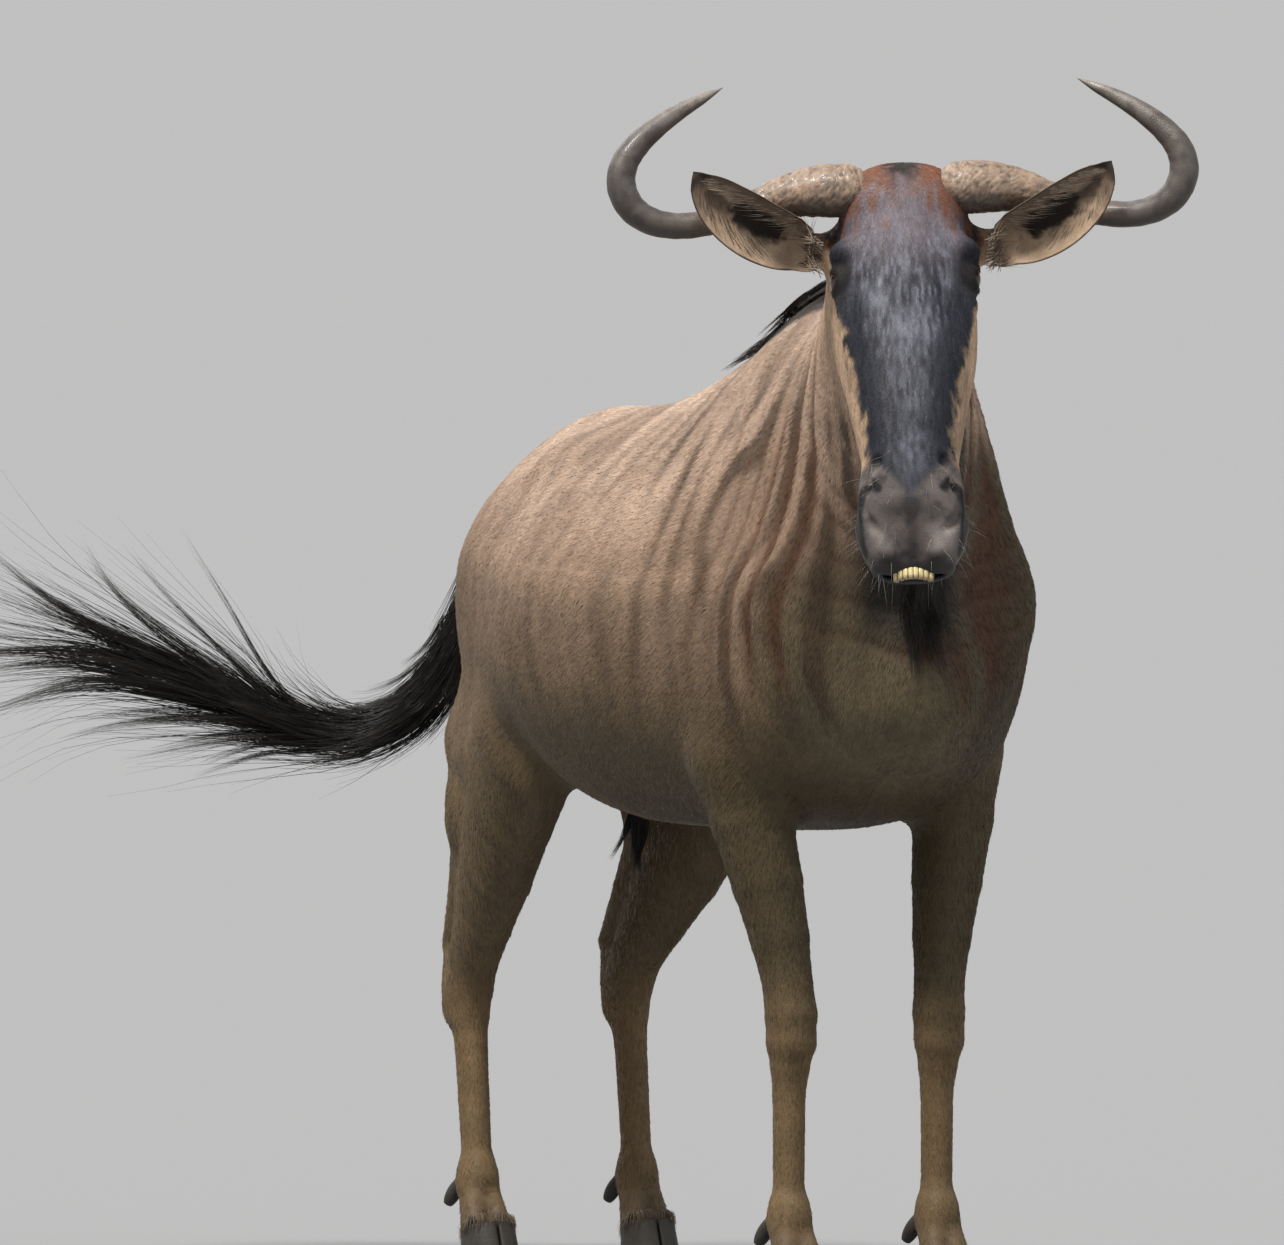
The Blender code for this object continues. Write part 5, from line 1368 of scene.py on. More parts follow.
def strands(locks, count, rng, width, spread, steps=8):
    """Fine tapered strands that fill each lock: a path, a side direction, a width and a thickness."""
    rings = []
    roots = []
    for path, side, lock_width, thick in locks:
        for _ in range(count):
            a = rng.uniform(-1, 1)
            b = rng.uniform(0.0, 1.0)
            t = np.linspace(0, rng.uniform(0.72, 1.0) * (len(path) - 1), steps)
            line = resampled(path, t)
            run = unit_rows(np.gradient(line, axis=0))
            across = unit_rows(side - run * (run @ side)[:, None])
            face = np.cross(across, run)
            f = t / (len(path) - 1)
            w = lock_width * (0.50 + 0.50 * np.sin(math.pi * np.minimum(1, 1.6 * f))) / 2 * spread
            wave = 0.10 * lock_width * np.sin(5.0 * f + rng.uniform(0, 6.28)) * f
            aside = a * w * (1 - 0.35 * f * f) + wave
            deep = b * thick * (1 - 0.5 * f) + rng.uniform(-1, 1) * 0.004 * f * f
            place = line + across * aside[:, None] + face * deep[:, None]
            r = width * rng.uniform(0.7, 1.3) * (1.0 - 0.92 * f / max(f[-1], 1e-6)) / 2
            r = r * (0.55 + 0.45 * np.minimum(1, 6 * f))
            rings.append(hair(place, across, face * 0.7, r[:, None]))
            roots.append(path[0])
    return np.array(rings), np.array(roots)


def strand_object(name, rings, roots, colour):
    """One mesh of closed three-sided strands, with a colour for each strand or each ring."""
    n, steps = rings.shape[:2]
    base = np.arange(n)[:, None, None] * (steps * 3)
    k = base + np.arange(steps - 1)[None, :, None] * 3
    quads = [np.stack((k + b, k + a, k + 3 + a, k + 3 + b), -1) for a, b in ((0, 1), (1, 2), (2, 0))]
    ends = (base[:, 0] + (0, 1, 2), base[:, 0] + (steps - 1) * 3 + (2, 1, 0))
    tris = triangles(np.concatenate(quads).reshape(-1, 4), *ends)
    colour = np.broadcast_to(colour.reshape(n, -1, 1, 3), (n, steps, 3, 3)).reshape(-1, 3)
    obj = mesh_object(name, rings.reshape(-1, 3), tris, colour)
    place = np.repeat(unwrap(roots, part_of(roots)), steps * 3, axis=0)
    corner = np.stack((np.tile((0.0, 1.0, 0.5), steps), np.repeat(np.linspace(0, 1, steps), 3)), -1)
    give_uv(obj, (place + np.tile(corner * HAIR_PATCH, (n, 1)))[tris.ravel()])
    return obj


def locks_along(line, strip, sizes, seed, lie):
    """The same locks as the solid's, as paths."""
    half, under = strip
    count, short, long, width, thick, room = sizes
    spread = half - 0.33 * width - 0.0015
    reach = np.linalg.norm(np.diff(line[0], axis=0), axis=1).sum()
    edge = (0.5 * width + 0.003) / reach
    rng = np.random.default_rng(seed)
    locks = []
    for k in range(count):
        t = (k + 0.5 + rng.uniform(-0.35, 0.35)) / count
        spot, out, run = along(line, np.clip(t, edge, 1.0 - edge))
        across = np.cross(run, out)
        aside = rng.uniform(-1.0, 1.0)
        heading, droop, scale = lie(t, aside, run, out, across, rng)
        length = rng.uniform(short, long) * scale
        root = settled(flesh, (spot + across * aside * spread)[None])
        out = unit(gradient(flesh, root)[1][0])
        root = root[0]
        side = unit(np.cross(unit(heading), out + across * aside * 0.3))
        path = lock_path(root, out, heading, length, under * 0.6, droop, rng.uniform(-0.5, 0.5), room)
        path = keep_off(path, side, width, room)
        locks.append((path, side, width * rng.uniform(0.8, 1.0), thick))
    return locks


# Horns, ears, eyes, teeth and hooves, finer than the solids

def lathe(rings, tip_start, tip_end):
    """Points and triangles through closed rings of equal count, with a tip at each end."""
    rings = np.asarray(rings)
    n, m = rings.shape[:2]
    pts = np.concatenate((rings.reshape(-1, 3), [tip_start, tip_end]))
    i = np.arange(n - 1)[:, None] * m
    k = np.arange(m)[None, :]
    j = (k + 1) % m
    quads = np.stack((i + k, i + j, i + m + j, i + m + k), -1).reshape(-1, 4)
    k = k[0]
    j = j[0]
    caps = np.concatenate((np.stack((j, k, np.full(m, n * m)), -1),
                           np.stack(((n - 1) * m + k, (n - 1) * m + j, np.full(m, n * m + 1)), -1)))
    return pts, triangles(quads, caps)


def rings_round(line, one, other, wide, deep, count):
    """Rings of points round a line, from two directions across it and the radii along them."""
    turn = np.linspace(0, 2 * math.pi, count, endpoint=False)[:, None]
    one = (one * wide[:, None])[:, None] * np.cos(turn)
    return line[:, None] + one + (other * deep[:, None])[:, None] * np.sin(turn)


def outward(pts, tris):
    a, b, c = (pts[tris[:, k]] for k in range(3))
    return tris if (a * np.cross(b, c)).sum() > 0 else tris[:, ::-1]


def flat_uv(obj, pts, tris, corner, size):
    """Simple patch on the atlas for a small piece: seen from the side it is broadest on."""
    low = pts.min(0)
    span = max((pts.max(0) - low).max(), 1e-6)
    n = np.cross(pts[tris[:, 1]] - pts[tris[:, 0]], pts[tris[:, 2]] - pts[tris[:, 0]])
    way = np.argmax(np.abs(n), axis=1)
    flat = (pts - low) / span
    uv = np.empty((len(tris), 3, 2))
    for axis in range(3):
        pick = way == axis
        other = [c for c in range(3) if c != axis]
        spot = flat[tris[pick]][:, :, other] * size * 0.3
        uv[pick] = spot + corner + np.array((axis * size / 3, 0))
    give_uv(obj, uv.reshape(-1, 2))


def piece(node, pts, tris, colour, mat, atlas, ending="_fine"):
    """Finer piece in the place of one node of the solids."""
    tris = outward(pts - pts.mean(0), tris)
    obj = mesh_object(node + ending, pts, tris, colour)
    flat_uv(obj, pts, tris, np.array(atlas), 0.04)
    finish_piece(obj, mat, [node], node)


def finish_piece(obj, mat, nodes, slot_name):
    obj.data.materials.append(mat)
    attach(obj, "root")
    if nodes:
        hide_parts(*nodes)


def build_horn(side, word, mat):
    fine = np.linspace(0, len(HORN) - 1, HORN_RINGS)
    cols = resampled(HORN, fine)
    line = cols[:, :3] * (side, 1, 1)
    axis = unit_rows(np.gradient(line, axis=0))
    fore = unit_rows(np.array((0.0, 1.0, 0.0)) - axis * axis[:, 1:2])
    flat = rings_round(line, np.cross(axis, fore), fore, cols[:, 3], cols[:, 4], HORN_ROUND).reshape(-1, 3)
    run = np.repeat(fine, HORN_ROUND)
    # Rough rings and pits on the boss, fine growth rings on the shaft
    wander = noise(flat, 0.022, 3 + side) - 0.5
    rings = 0.5 + 0.5 * np.sin(run * 9.0 + 5.0 * wander)
    knobs = grain(flat, 0.0065, 81)
    pits = smooth(0.45, 0.75, noise(flat, 0.0026, 85))
    b = smooth(8.5, 5.0, run)
    shaft = smooth(17.0, 11.0, run)
    sink = b * (0.0006 * rings + 0.0024 * (1.0 - knobs) + 0.0010 * pits) + (1 - b) * shaft * 0.0004 * rings
    size = np.repeat(cols[:, 3:5].min(1), HORN_ROUND)
    sink = np.minimum(sink + 0.00025, size * 0.3)
    out = unit_rows(flat - np.repeat(line, HORN_ROUND, axis=0))
    flat = flat - out * sink[:, None]
    colour = blend(HORN_SHAFT, HORN_BOSS, b * smooth(0.2, 0.75, knobs + 0.25))
    colour = blend(colour, HORN_DARK_AND_SHADE, b * np.clip(0.38 * pits + 0.25 * smooth(0.45, 0.75, 1 - knobs), 0, 1))
    # Paler towards the tips, partly painted highlight
    colour = blend(colour, HORN_TIP_AND_HIGHLIGHT, 0.75 * smooth(13.0, 16.5, run))
    # Painted shade on the horn's underside
    colour = blend(colour, HORN_DARK_AND_SHADE, 0.75 * smooth(-0.1, 0.7, -out[:, 2]))
    colour = blend(colour, HORN_DARK_AND_SHADE, 0.6 * (1 - b) * smooth(0.4, 0.7, grain(flat, 0.014, 87)))
    # Painted highlight: pale patches on the upper side of the shaft
    pale = smooth(0.5, 0.8, grain(flat, 0.010, 89)) * smooth(0.1, 0.8, out[:, 2])
    colour = blend(colour, HORN_TIP_AND_HIGHLIGHT, 0.30 * (1 - b) * pale)
    rings_out = from_level(flat).reshape(HORN_RINGS, HORN_ROUND, 3)
    start = from_level(line[0] + unit(line[0] - line[1]) * 0.008)
    end = from_level(line[-1] + unit(line[-1] - line[-2]) * 0.008)
    pts, tris = lathe(rings_out, start, end)
    colour = np.concatenate((colour, [colour[0], colour[-1]]))
    piece("horn_" + word, pts, tris, colour, mat, (0.68 if side > 0 else 0.73, 0.94))


def ear_frame(side):
    """Line of the ear with its directions, on fine steps."""
    fine = np.linspace(0, len(EAR) - 1, EAR_RINGS)
    cols = resampled(EAR, fine)
    line = cols[:, :3] * (side, 1, 1)
    axis = unit_rows(np.gradient(line, axis=0))
    square = np.clip(1.0 - fine / 3.0, 0.0, 1.0)[:, None]
    axis = unit_rows(axis * (1 - square) + np.array((side, 0.0, 0.0)) * square)
    front = np.array((0.0, -1.0, -0.15))
    front = unit_rows(front - axis * (axis @ front)[:, None])
    return fine, cols, line, front, np.cross(axis, front)


def ear_sheet(side):
    """Outer and inner wall of the cup, as grids of points."""
    fine, cols, line, front, across = ear_frame(side)
    opening = np.minimum(1.0, fine / 2.0)[:, None]
    k = np.linspace(-0.5, 0.5, EAR_ROUND)[None, :]
    a = math.pi * (0.5 + k * (1.25 - 0.35 * opening))
    x = np.cos(a)
    y = np.sin(a)
    half = cols[:, 3:4]
    cup = cols[:, 4:5]
    bend = cup * (1 - y)
    rim = smooth(0.30, 0.5, np.abs(k))
    wall = EAR_THICKNESS * 0.72 * (1.0 - 0.45 * rim)
    lift = (cup + half) * 0.9 * (1 - opening) + wall * (2.0 - opening)

    def sheet(wide, deep):
        return line[:, None] + across[:, None] * (x * wide)[:, :, None] + front[:, None] * deep[:, :, None]

    return sheet(half, bend), sheet(half - wall * 0.6, bend + lift), fine


def build_ear(side, word, mat, hair_mat):
    outer, inner, fine = ear_sheet(side)
    rings = np.concatenate((outer, inner[:, ::-1]), axis=1)
    rows = rings.shape[1]
    flat = from_level(rings.reshape(-1, 3))
    line = np.array(EAR)[:, :3] * (side, 1, 1)
    tip = from_level(line[-1] + (line[-1] - line[-2]) * 0.5)
    root = from_level(line[0])
    pts, tris = lathe(flat.reshape(len(fine), rows, 3), root, tip)
    inside = np.tile(np.arange(rows) >= EAR_ROUND, len(fine))
    run = np.repeat(fine / fine[-1], rows)
    back = blend(EAR_BACK, EAR_DARK, smooth(0.55, 1.0, run))
    ragged = grain(flat, 0.010, 93) - 0.5
    sweep = np.linspace(-1, 1, EAR_ROUND)
    upper = side * np.tile(np.concatenate((sweep, sweep[::-1])), len(fine))
    edge = np.abs(upper)
    hollow = smooth(1.10, 0.65, np.hypot((run - 0.48) / 0.24, (upper - 0.12) / 0.42) + 0.9 * ragged)
    cleft = smooth(0.35, 0.10, edge + 0.6 * ragged) * smooth(0.55, 0.70, run) * smooth(0.94, 0.84, run)
    hollow = np.maximum(hollow, 0.8 * cleft)
    brown = smooth(0.10, 0.60, upper + 0.8 * ragged) * smooth(0.10, 0.30, run)
    brown = np.maximum(brown, 0.8 * smooth(0.62, 0.85, run + 0.3 * ragged))
    pale = blend(EAR_PALE, EAR_BROWN, 0.85 * brown)
    pale = blend(pale, EAR_HOLLOW, hollow)
    pale = blend(pale, EAR_DARK, smooth(0.88, 0.97, edge + 0.10 * ragged) * 0.95)
    pale = blend(pale, EAR_DARK, 0.9 * smooth(0.86, 0.95, run + 0.1 * ragged))
    colour = np.where(inside[:, None], pale, back) * (0.75 + 0.5 * grain(flat, 0.012, 91))[:, None]
    colour = np.concatenate((colour, [colour[0], colour[-1] * 0.5]))
    piece("ear_" + word, pts, tris, colour, mat, (0.78 if side > 0 else 0.83, 0.94))
    build_ear_hair(side, word, outer, inner, hair_mat)


def build_ear_hair(side, word, outer, inner, mat):
    """Pale hairs that cross the hollow of the ear, and short dark ones over its back and rim."""
    rng = np.random.default_rng(95 + side)
    rings = []
    colours = []
    n, m = inner.shape[:2]
    for _ in range(EAR_HAIRS):
        at_root = rng.random() < 0.24
        i = (rng.uniform(0.0, 0.10) if at_root else rng.uniform(0.18, 0.88)) * (n - 1)
        back = rng.random() < 0.35
        grid = outer if back else inner
        low_edge = rng.random() < 0.5
        reach = (0.02, 0.98) if back else (0.03, 0.33) if low_edge else (0.67, 0.97)
        j = rng.uniform(*reach) * (m - 1)
        i0 = int(i)
        j0 = int(j)
        here = grid[i0, j0]
        spot = here + (grid[i0 + 1, j0] - here) * (i - i0) + (grid[i0, min(j0 + 1, m - 1)] - here) * (j - j0)
        run = unit(grid[min(i0 + 2, n - 1), j0] - here)
        round_way = unit(grid[i0, min(j0 + 2, m - 1)] - grid[i0, max(j0 - 2, 0)])
        normal = unit(np.cross(run, round_way))
        if (normal[1] > 0) != back:
            normal = -normal
        inward = round_way if j < m / 2 else -round_way
        if back:
            length = rng.uniform(0.006, 0.011)
            way = unit(run * 0.95 + normal * 0.10 + round_way * rng.uniform(-0.25, 0.25))
            tone = EAR_BACK if i / n < 0.6 else EAR_DARK
            radius = 0.0006
        elif at_root:
            j = rng.uniform(0.05, 0.95) * (m - 1)
            spot = grid[i0, int(j)] - run * 0.014
            length = rng.uniform(0.035, 0.055)
            way = unit(run * 0.95 + normal * rng.uniform(0.0, 0.14) + round_way * rng.uniform(-0.25, 0.25))
            tone = EAR_HAIR * 0.6 if rng.random() < 0.7 else EAR_BROWN
            radius = 0.00055
        else:
            length = rng.uniform(0.016, 0.030) * (1.0 - 0.45 * i / n)
            way = unit(run * 0.80 + inward * 0.70 + normal * 0.12)
            tone = EAR_HAIR * 0.8 if (j < m / 2) == (side < 0) or i / n < 0.35 else EAR_BROWN * 1.6
            radius = 0.00040
        t = np.linspace(0, 1, 5)[:, None]
        curl = normal * 0.10 * (1 - t) + run * 0.35 * t
        line = from_level(spot - normal * 0.0008 + (way + curl) * length * t)
        rings.append(hair(line, *hair_frame(line, from_level(normal) - POLL), radius * (1.0 - 0.9 * t)))
        colours.append(tone * rng.uniform(0.65, 1.3))
    roots = np.tile(from_level(np.array(EAR[3][:3]) * (side, 1, 1)), (EAR_HAIRS, 1))
    colours = np.clip(np.array(colours), 0.002, 0.9)
    obj = strand_object("ear_%s_hair" % word, np.array(rings), roots, colours)
    finish_piece(obj, mat, [], "ear_" + word)


def build_eye(side, word, mat):
    centre = np.array(EYE_PLACE) * (side, 1, 1)
    r = EYE_RADIUS - 0.0003
    a = np.linspace(0, math.pi, 42)[1:-1, None]
    b = np.linspace(0, 2 * math.pi, 56, endpoint=False)
    ball = np.broadcast_arrays(side * np.cos(a), np.sin(a) * np.cos(b), np.sin(a) * np.sin(b))
    ball = np.stack(ball, -1)
    flat = ball.reshape(-1, 3)
    gaze = unit((side * 0.90, -0.38, 0.02))
    # Dark iris round the gaze, and a level slot of a pupil
    level = unit(np.cross((0.0, 0.0, 1.0), gaze))
    u = flat @ level
    v = flat @ np.cross(gaze, level)
    front = flat @ gaze > 0
    radius = np.hypot(u, v)
    iris = smooth(0.74, 0.66, radius) * front
    colour = blend(EYE_WHITE, EYE_IRIS, iris)
    colour = blend(colour, EYE_PUPIL, smooth(1.1, 0.85, np.hypot(u / 0.42, v / 0.20)) * front)
    colour = blend(colour, EYE_PUPIL, 0.8 * iris * smooth(0.56, 0.68, radius))
    pole = np.array((side * r, 0, 0))
    pts, tris = lathe(from_head(centre + ball * r), from_head(centre + pole), from_head(centre - pole))
    colour = np.concatenate((colour, [colour[0], colour[-1]]))
    piece("eye_" + word, pts, tris, colour, mat, (0.88 if side > 0 else 0.93, 0.94))


def build_teeth(mat):
    """Worn lower front teeth side by side along an arc, each turned with it."""
    points = []
    faces = []
    ring = np.linspace(0, 2 * math.pi, 12, endpoint=False)
    across = np.sign(np.cos(ring)) * np.abs(np.cos(ring)) ** 0.35 * TOOTH_HALF
    deep = np.sign(np.sin(ring)) * np.abs(np.sin(ring)) ** 0.35 * TOOTH_DEEP
    for k in range(TEETH):
        t = 2 * (k + 0.5) / TEETH - 1
        x = TEETH_HALF * t
        front = 0.0445 + TEETH_ARC * t * t
        lean = math.atan2(2 * TEETH_ARC * t, TEETH_HALF)
        top = -0.5082 - 0.0006 * (k % 3)
        rings = []
        for z, s in ((TOOTH_FOOT, 0.80), (-0.5180, 0.92), (-0.5130, 1.0), (-0.5098, 0.97), (top, 0.80)):
            turned_x = x + across * s * math.cos(lean) - deep * math.sin(lean)
            turned_y = front + across * s * math.sin(lean) + (deep + TOOTH_SET) * s
            rings.append(np.stack((turned_x, turned_y, np.full(12, z)), -1))
        pts, tris = lathe(rings, (x, front + TOOTH_SET, TOOTH_FOOT), (x, front + TOOTH_SET, top + 0.0004))
        faces.append(tris + k * len(pts))
        points.append(pts)
    pts = np.concatenate(points)
    tris = np.concatenate(faces)
    colour = TOOTH * (0.8 + 0.35 * noise(pts, 0.004, 97))[:, None]
    colour = blend(colour, TOOTH_STAIN, 0.7 * smooth(-0.515, -0.522, pts[:, 2]))
    obj = mesh_object("lower_teeth_fine", from_head(pts), tris, colour)
    flat_uv(obj, pts, tris, np.array((0.68, 0.980075)), 0.01)
    finish_piece(obj, mat, ["lower_teeth"], "lower_teeth")


def build_hoof(name, x, y, side, mat, hair_mat, atlas):
    """Claw with a rounded wall, growth rings and a paler, worn edge at the sole."""
    levels = np.concatenate(([0.0, 0.0006], np.linspace(0.003, 1.0, 26) * CORONET))
    # Round the outer wall, then back along the inner one
    turn = math.pi * np.concatenate((np.linspace(0, 1, 40), np.linspace(1, 0, 16)[1:-1]))
    bulge = np.sin(turn) ** 0.8 * (np.arange(len(turn)) < 40)
    rings = []
    for z in levels:
        height = z / CORONET
        g = max(0.0, (z - CLAW_UPRIGHT) / (CORONET - CLAW_UPRIGHT))
        length = CLAW_LENGTH + (CLAW_TOP_LENGTH - CLAW_LENGTH) * g
        width = CLAW_WIDTH + (CLAW_TOP_WIDTH - CLAW_WIDTH) * g
        shift = -0.0125 * (1 - g) - 0.0015 * (1.0 - min(1.0, z / CLAW_UPRIGHT))
        draw = 0.0011 if z == 0.0 else 0.0003 + 0.0004 * (0.5 + 0.5 * math.sin(z * 1500.0)) * (height > 0.1)
        back = -np.cos(turn) * (length / 2 - draw) + shift
        out = bulge * (width - draw) + 0.0002
        rise = np.full(len(turn), z)
        if height > SLOPE_FROM:
            rise = z - back * CORONET_SLOPE * (height - SLOPE_FROM) / (1.0 - SLOPE_FROM) - 0.0006
        rings.append(np.stack((x + side * (CLAW_GAP / 2 + out), y + back, rise), -1))
    rings = np.array(rings)
    pts, tris = lathe(rings, rings[0].mean(0), rings[-1].mean(0))
    z = np.concatenate((np.repeat(levels, len(turn)), [0.0, CORONET]))
    colour = HOOF * (0.75 + 0.5 * grain(pts * (1, 1, 0.25), 0.006, 99))[:, None]
    worn = smooth(0.022, 0.002, z) * smooth(0.3, 0.7, grain(pts, 0.01, 101))
    colour = blend(colour, HOOF_WORN, 0.6 * worn)
    build_coronet(name, rings[-1], hair_mat)
    piece(name, pts, tris, colour, mat, atlas)


def build_dewclaw(name, x, y, side, mat, atlas):
    centre = np.array((x + side * 0.017, y + 0.030, 0.112))
    axis = unit((side * 0.25, 0.55, -0.80))
    fore = unit(np.cross(axis, (1, 0, 0)))
    across = np.cross(axis, fore)
    at = np.linspace(-0.012, 0.0260, 14)
    radius = curve((-0.012, 0.006, 0.024, 0.033), (0.0085, 0.0115, 0.0083, 0.0033), at)
    radius = radius * 0.86
    rings = rings_round(centre + axis * at[:, None], across, fore, radius, radius, 24)
    pts, tris = lathe(rings, centre + axis * at[0], centre + axis * (at[-1] + 0.0004))
    colour = HOOF * (0.75 + 0.5 * grain(pts, 0.004, 103))[:, None]
    piece(name, pts, tris, colour, mat, atlas)


def build_coronet(name, top, mat):
    """Short hair that hangs over the upper edge of a claw."""
    rng = np.random.default_rng(121)
    middle = top.mean(0)
    rings = []
    for k in rng.integers(0, len(top), CORONET_HAIRS):
        out = unit((top[k] - middle) * (1, 1, 0))
        length = rng.uniform(0.014, 0.026)
        t = np.linspace(0, 1, 4)[:, None]
        root = top[k] - out * 0.007 + np.array((0, 0, 0.010)) + rng.normal(0, 0.0012, 3)
        line = root + out * 0.012 * t * (1.4 - 0.6 * t) + np.array((0, 0, -1.0)) * length * t * t
        rings.append(hair(line, np.cross(out, (0.0, 0.0, 1.0)), out * 0.7, 0.0009 * (1.0 - 0.85 * t)))
    rings = np.array(rings)
    tone = HOOF_HAIR * rng.uniform(0.6, 1.4, CORONET_HAIRS)[:, None]
    obj = strand_object(name + "_hair", rings, rings[:, 0, 0], tone)
    finish_piece(obj, mat, [], name)


# Long hair

def sleek_lie(t, aside, run, out, across, rng):
    """Flat along the crest, over to the right side."""
    heading = run * 0.95 + out * 0.04 + np.array((-rng.uniform(0.20, 0.42), 0.0, -0.10))
    return heading, 0.35, 1.0 - 0.3 * t * t


def long_hair(name, locks, per_lock, seed, mat, nodes, tone, width, flat, spread):
    """Strands in all the locks, laid closer to the skin where flat is under one."""
    rng = np.random.default_rng(seed)
    rings, roots = strands(locks, per_lock, rng, width, spread)
    if flat < 1.0:
        spots = rings.mean(axis=2).reshape(-1, 3)
        depth, way = gradient(flesh, spots)
        drop = unit_rows(way) * ((1.0 - flat) * np.maximum(depth - 0.003, 0.0))[:, None]
        rings = rings - drop.reshape(*rings.shape[:2], 1, 3)
    n, steps = rings.shape[:2]
    shade = rng.uniform(0.55, 1.5, n)
    along_hair = np.linspace(0, 1, steps)
    colour = tone * shade[:, None, None] * (0.85 + 0.4 * along_hair)[None, :, None]
    brown = (rng.random(n) < 0.16)[:, None, None] * smooth(0.3, 1.0, along_hair)[None, :, None]
    colour = colour + (HAIR_BROWN - colour) * 0.5 * brown
    obj = strand_object(name, rings, roots, np.clip(colour, 0.001, 0.9))
    finish_piece(obj, mat, nodes, nodes[0])


def past_tail(ahead):
    """Places along the tail's line, which runs straight on past its last point."""
    last = len(TAIL) - 1.0
    way = unit(np.subtract(TAIL[-1][:3], TAIL[-2][:3]))
    return tail_line(np.minimum(ahead, last))[0] + way * (np.maximum(0.0, ahead - last) * TAIL_STEP)[:, None]


def tail_locks(first, last, sizes, seed, fan):
    """The same locks as the tail's solids, as paths."""
    count, short, long, width, thick, room = sizes
    rng = np.random.default_rng(seed)
    locks = []
    for k in range(count):
        t = first + 0.12 + (last - first - 0.5) * ((k + 0.5) / count) ** 1.1
        (spot,), (radius,) = tail_line([t])
        run = unit(tail_line([t + 0.05])[0][0] - tail_line([t - 0.05])[0][0])
        a = 2.4 * k + rng.uniform(-0.4, 0.4)
        across = unit(np.cross(run, TAIL_GUIDE))
        depth = np.cross(across, run)
        out = across * math.cos(a) + depth * math.sin(a)
        length = rng.uniform(short, long)
        lean = fan * math.cos(a) + 0.10 * rng.uniform(-1, 1)
        deep = 0.35 * fan * math.sin(a)
        u = np.linspace(0.25, 1.0, 4)
        gap = out * (radius * 1.15 + 0.004)
        fanned = (across * lean + depth * deep) * length * (u * u)[:, None]
        bent = past_tail(t + length * u / TAIL_STEP) + gap + fanned
        start = spot + radius * np.array((out * 0.25 - run * 0.4, out * 1.15 + run * 1.2))
        side = np.cross(run, out)
        path = keep_off(np.concatenate((start, bent)), unit(side), width, room)
        locks.append((path, side, width * rng.uniform(0.8, 1.15), thick))
    return locks


def build_tail_stream(mat):
    """Fine hairs that stream from the whole dock to the tail's end and fill the room between the locks."""
    rng = np.random.default_rng(113)
    last = len(TAIL) - 1.0
    start = 0.5 + 6.4 * rng.random(STREAM_HAIRS) ** 0.85
    length = np.minimum(rng.uniform(0.26, 0.60, STREAM_HAIRS), (last + 0.4 - start) * TAIL_STEP)[:, None]
    s = np.linspace(0, 1, 9)[None, :]
    ahead = start[:, None] + length * s / TAIL_STEP
    mid = past_tail(ahead.ravel()).reshape(*ahead.shape, 3)
    run = np.gradient(mid, axis=1)
    run = run / np.linalg.norm(run, axis=2, keepdims=True)
    across = np.cross(run, TAIL_GUIDE)
    across = across / np.linalg.norm(across, axis=2, keepdims=True)
    depth = np.cross(across, run)
    turn = rng.uniform(0, 2 * math.pi, STREAM_HAIRS)[:, None]
    free = (0.15 + 0.85 * smooth(2.2, 5.0, start))[:, None] * length * s * s
    lean = rng.normal(0.0, 0.16, STREAM_HAIRS)[:, None] * free
    deep = rng.normal(0.0, 0.09, STREAM_HAIRS)[:, None] * free
    gap = tail_line(start)[1][:, None] * 1.1 * np.minimum(1.0, 6 * s + 0.6) + 0.010 * s
    place = mid + across * (np.cos(turn) * gap + lean)[:, :, None]
    place = place + depth * (np.sin(turn) * gap + deep)[:, :, None]
    rings = hair(place, across, depth * 0.7, (0.0007 * (1.0 - 0.9 * s))[:, :, None])
    tone = LONG_BLACK * rng.uniform(0.5, 1.8, STREAM_HAIRS)[:, None]
    obj = strand_object("tail_stream", rings, place[:, 0], tone)
    finish_piece(obj, mat, [], "tail_hair_lower")


def build_tail_core(mat):
    """Skin of the dock and the thin end that runs on inside the hair."""
    at = np.linspace(0.0, CORE_END, 120)
    line, radius = tail_line(at)
    axis = unit_rows(tail_line(at + 0.05)[0] - tail_line(at - 0.05)[0])
    guide = np.where((at > 3)[:, None], TAIL_GUIDE, (0.2, 0.1, 1.0))
    across = unit_rows(np.cross(axis, guide))
    r = (radius - 0.0012) * (1.0 - 0.3 * smooth(4.0, CORE_END, at))
    rings = rings_round(line, across, np.cross(across, axis), r, r, 28)
    pts, tris = lathe(rings, line[0], line[-1])
    dark = np.concatenate((np.repeat(smooth(0.2, 1.6, at), 28), [0.0, 1.0]))
    colour = blend(TAIL_ROOT, LONG_BLACK, dark) * (0.8 + 0.4 * grain(pts, 0.01, 107))[:, None]
    piece("tail_dock", pts, tris, colour, mat, (0.78, 0.90), "_skin")


def build_whiskers(points, normals, mat):
    """Fine hairs on lips and chin."""
    rng = np.random.default_rng(111)
    q = in_head(points)
    near = (q[:, 2] < -0.36) & (head_share(points) > 0.9) & (np.abs(q[:, 0]) > 0.018)
    pick = rng.choice(np.nonzero(near)[0], WHISKERS, replace=False)
    rings = []
    colours = []
    for i in pick:
        n = normals[i]
        length = rng.uniform(0.010, 0.034)
        way = unit(n + np.array((0, 0, -0.5)) + rng.normal(0, 0.25, 3))
        t = np.linspace(0, 1, 5)[:, None]
        line = points[i] - n * 0.001 + way * length * t + np.array((0, 0, -0.25)) * length * t * t
        rings.append(hair(line, *hair_frame(line, n + 1e-4), 0.00018 * (1.0 - 0.85 * t)))
        colours.append(WHISKER * rng.uniform(0.5, 1.1))
    obj = strand_object("whiskers", np.array(rings), points[pick], np.array(colours))
    finish_piece(obj, mat, [], "head")


# Materials

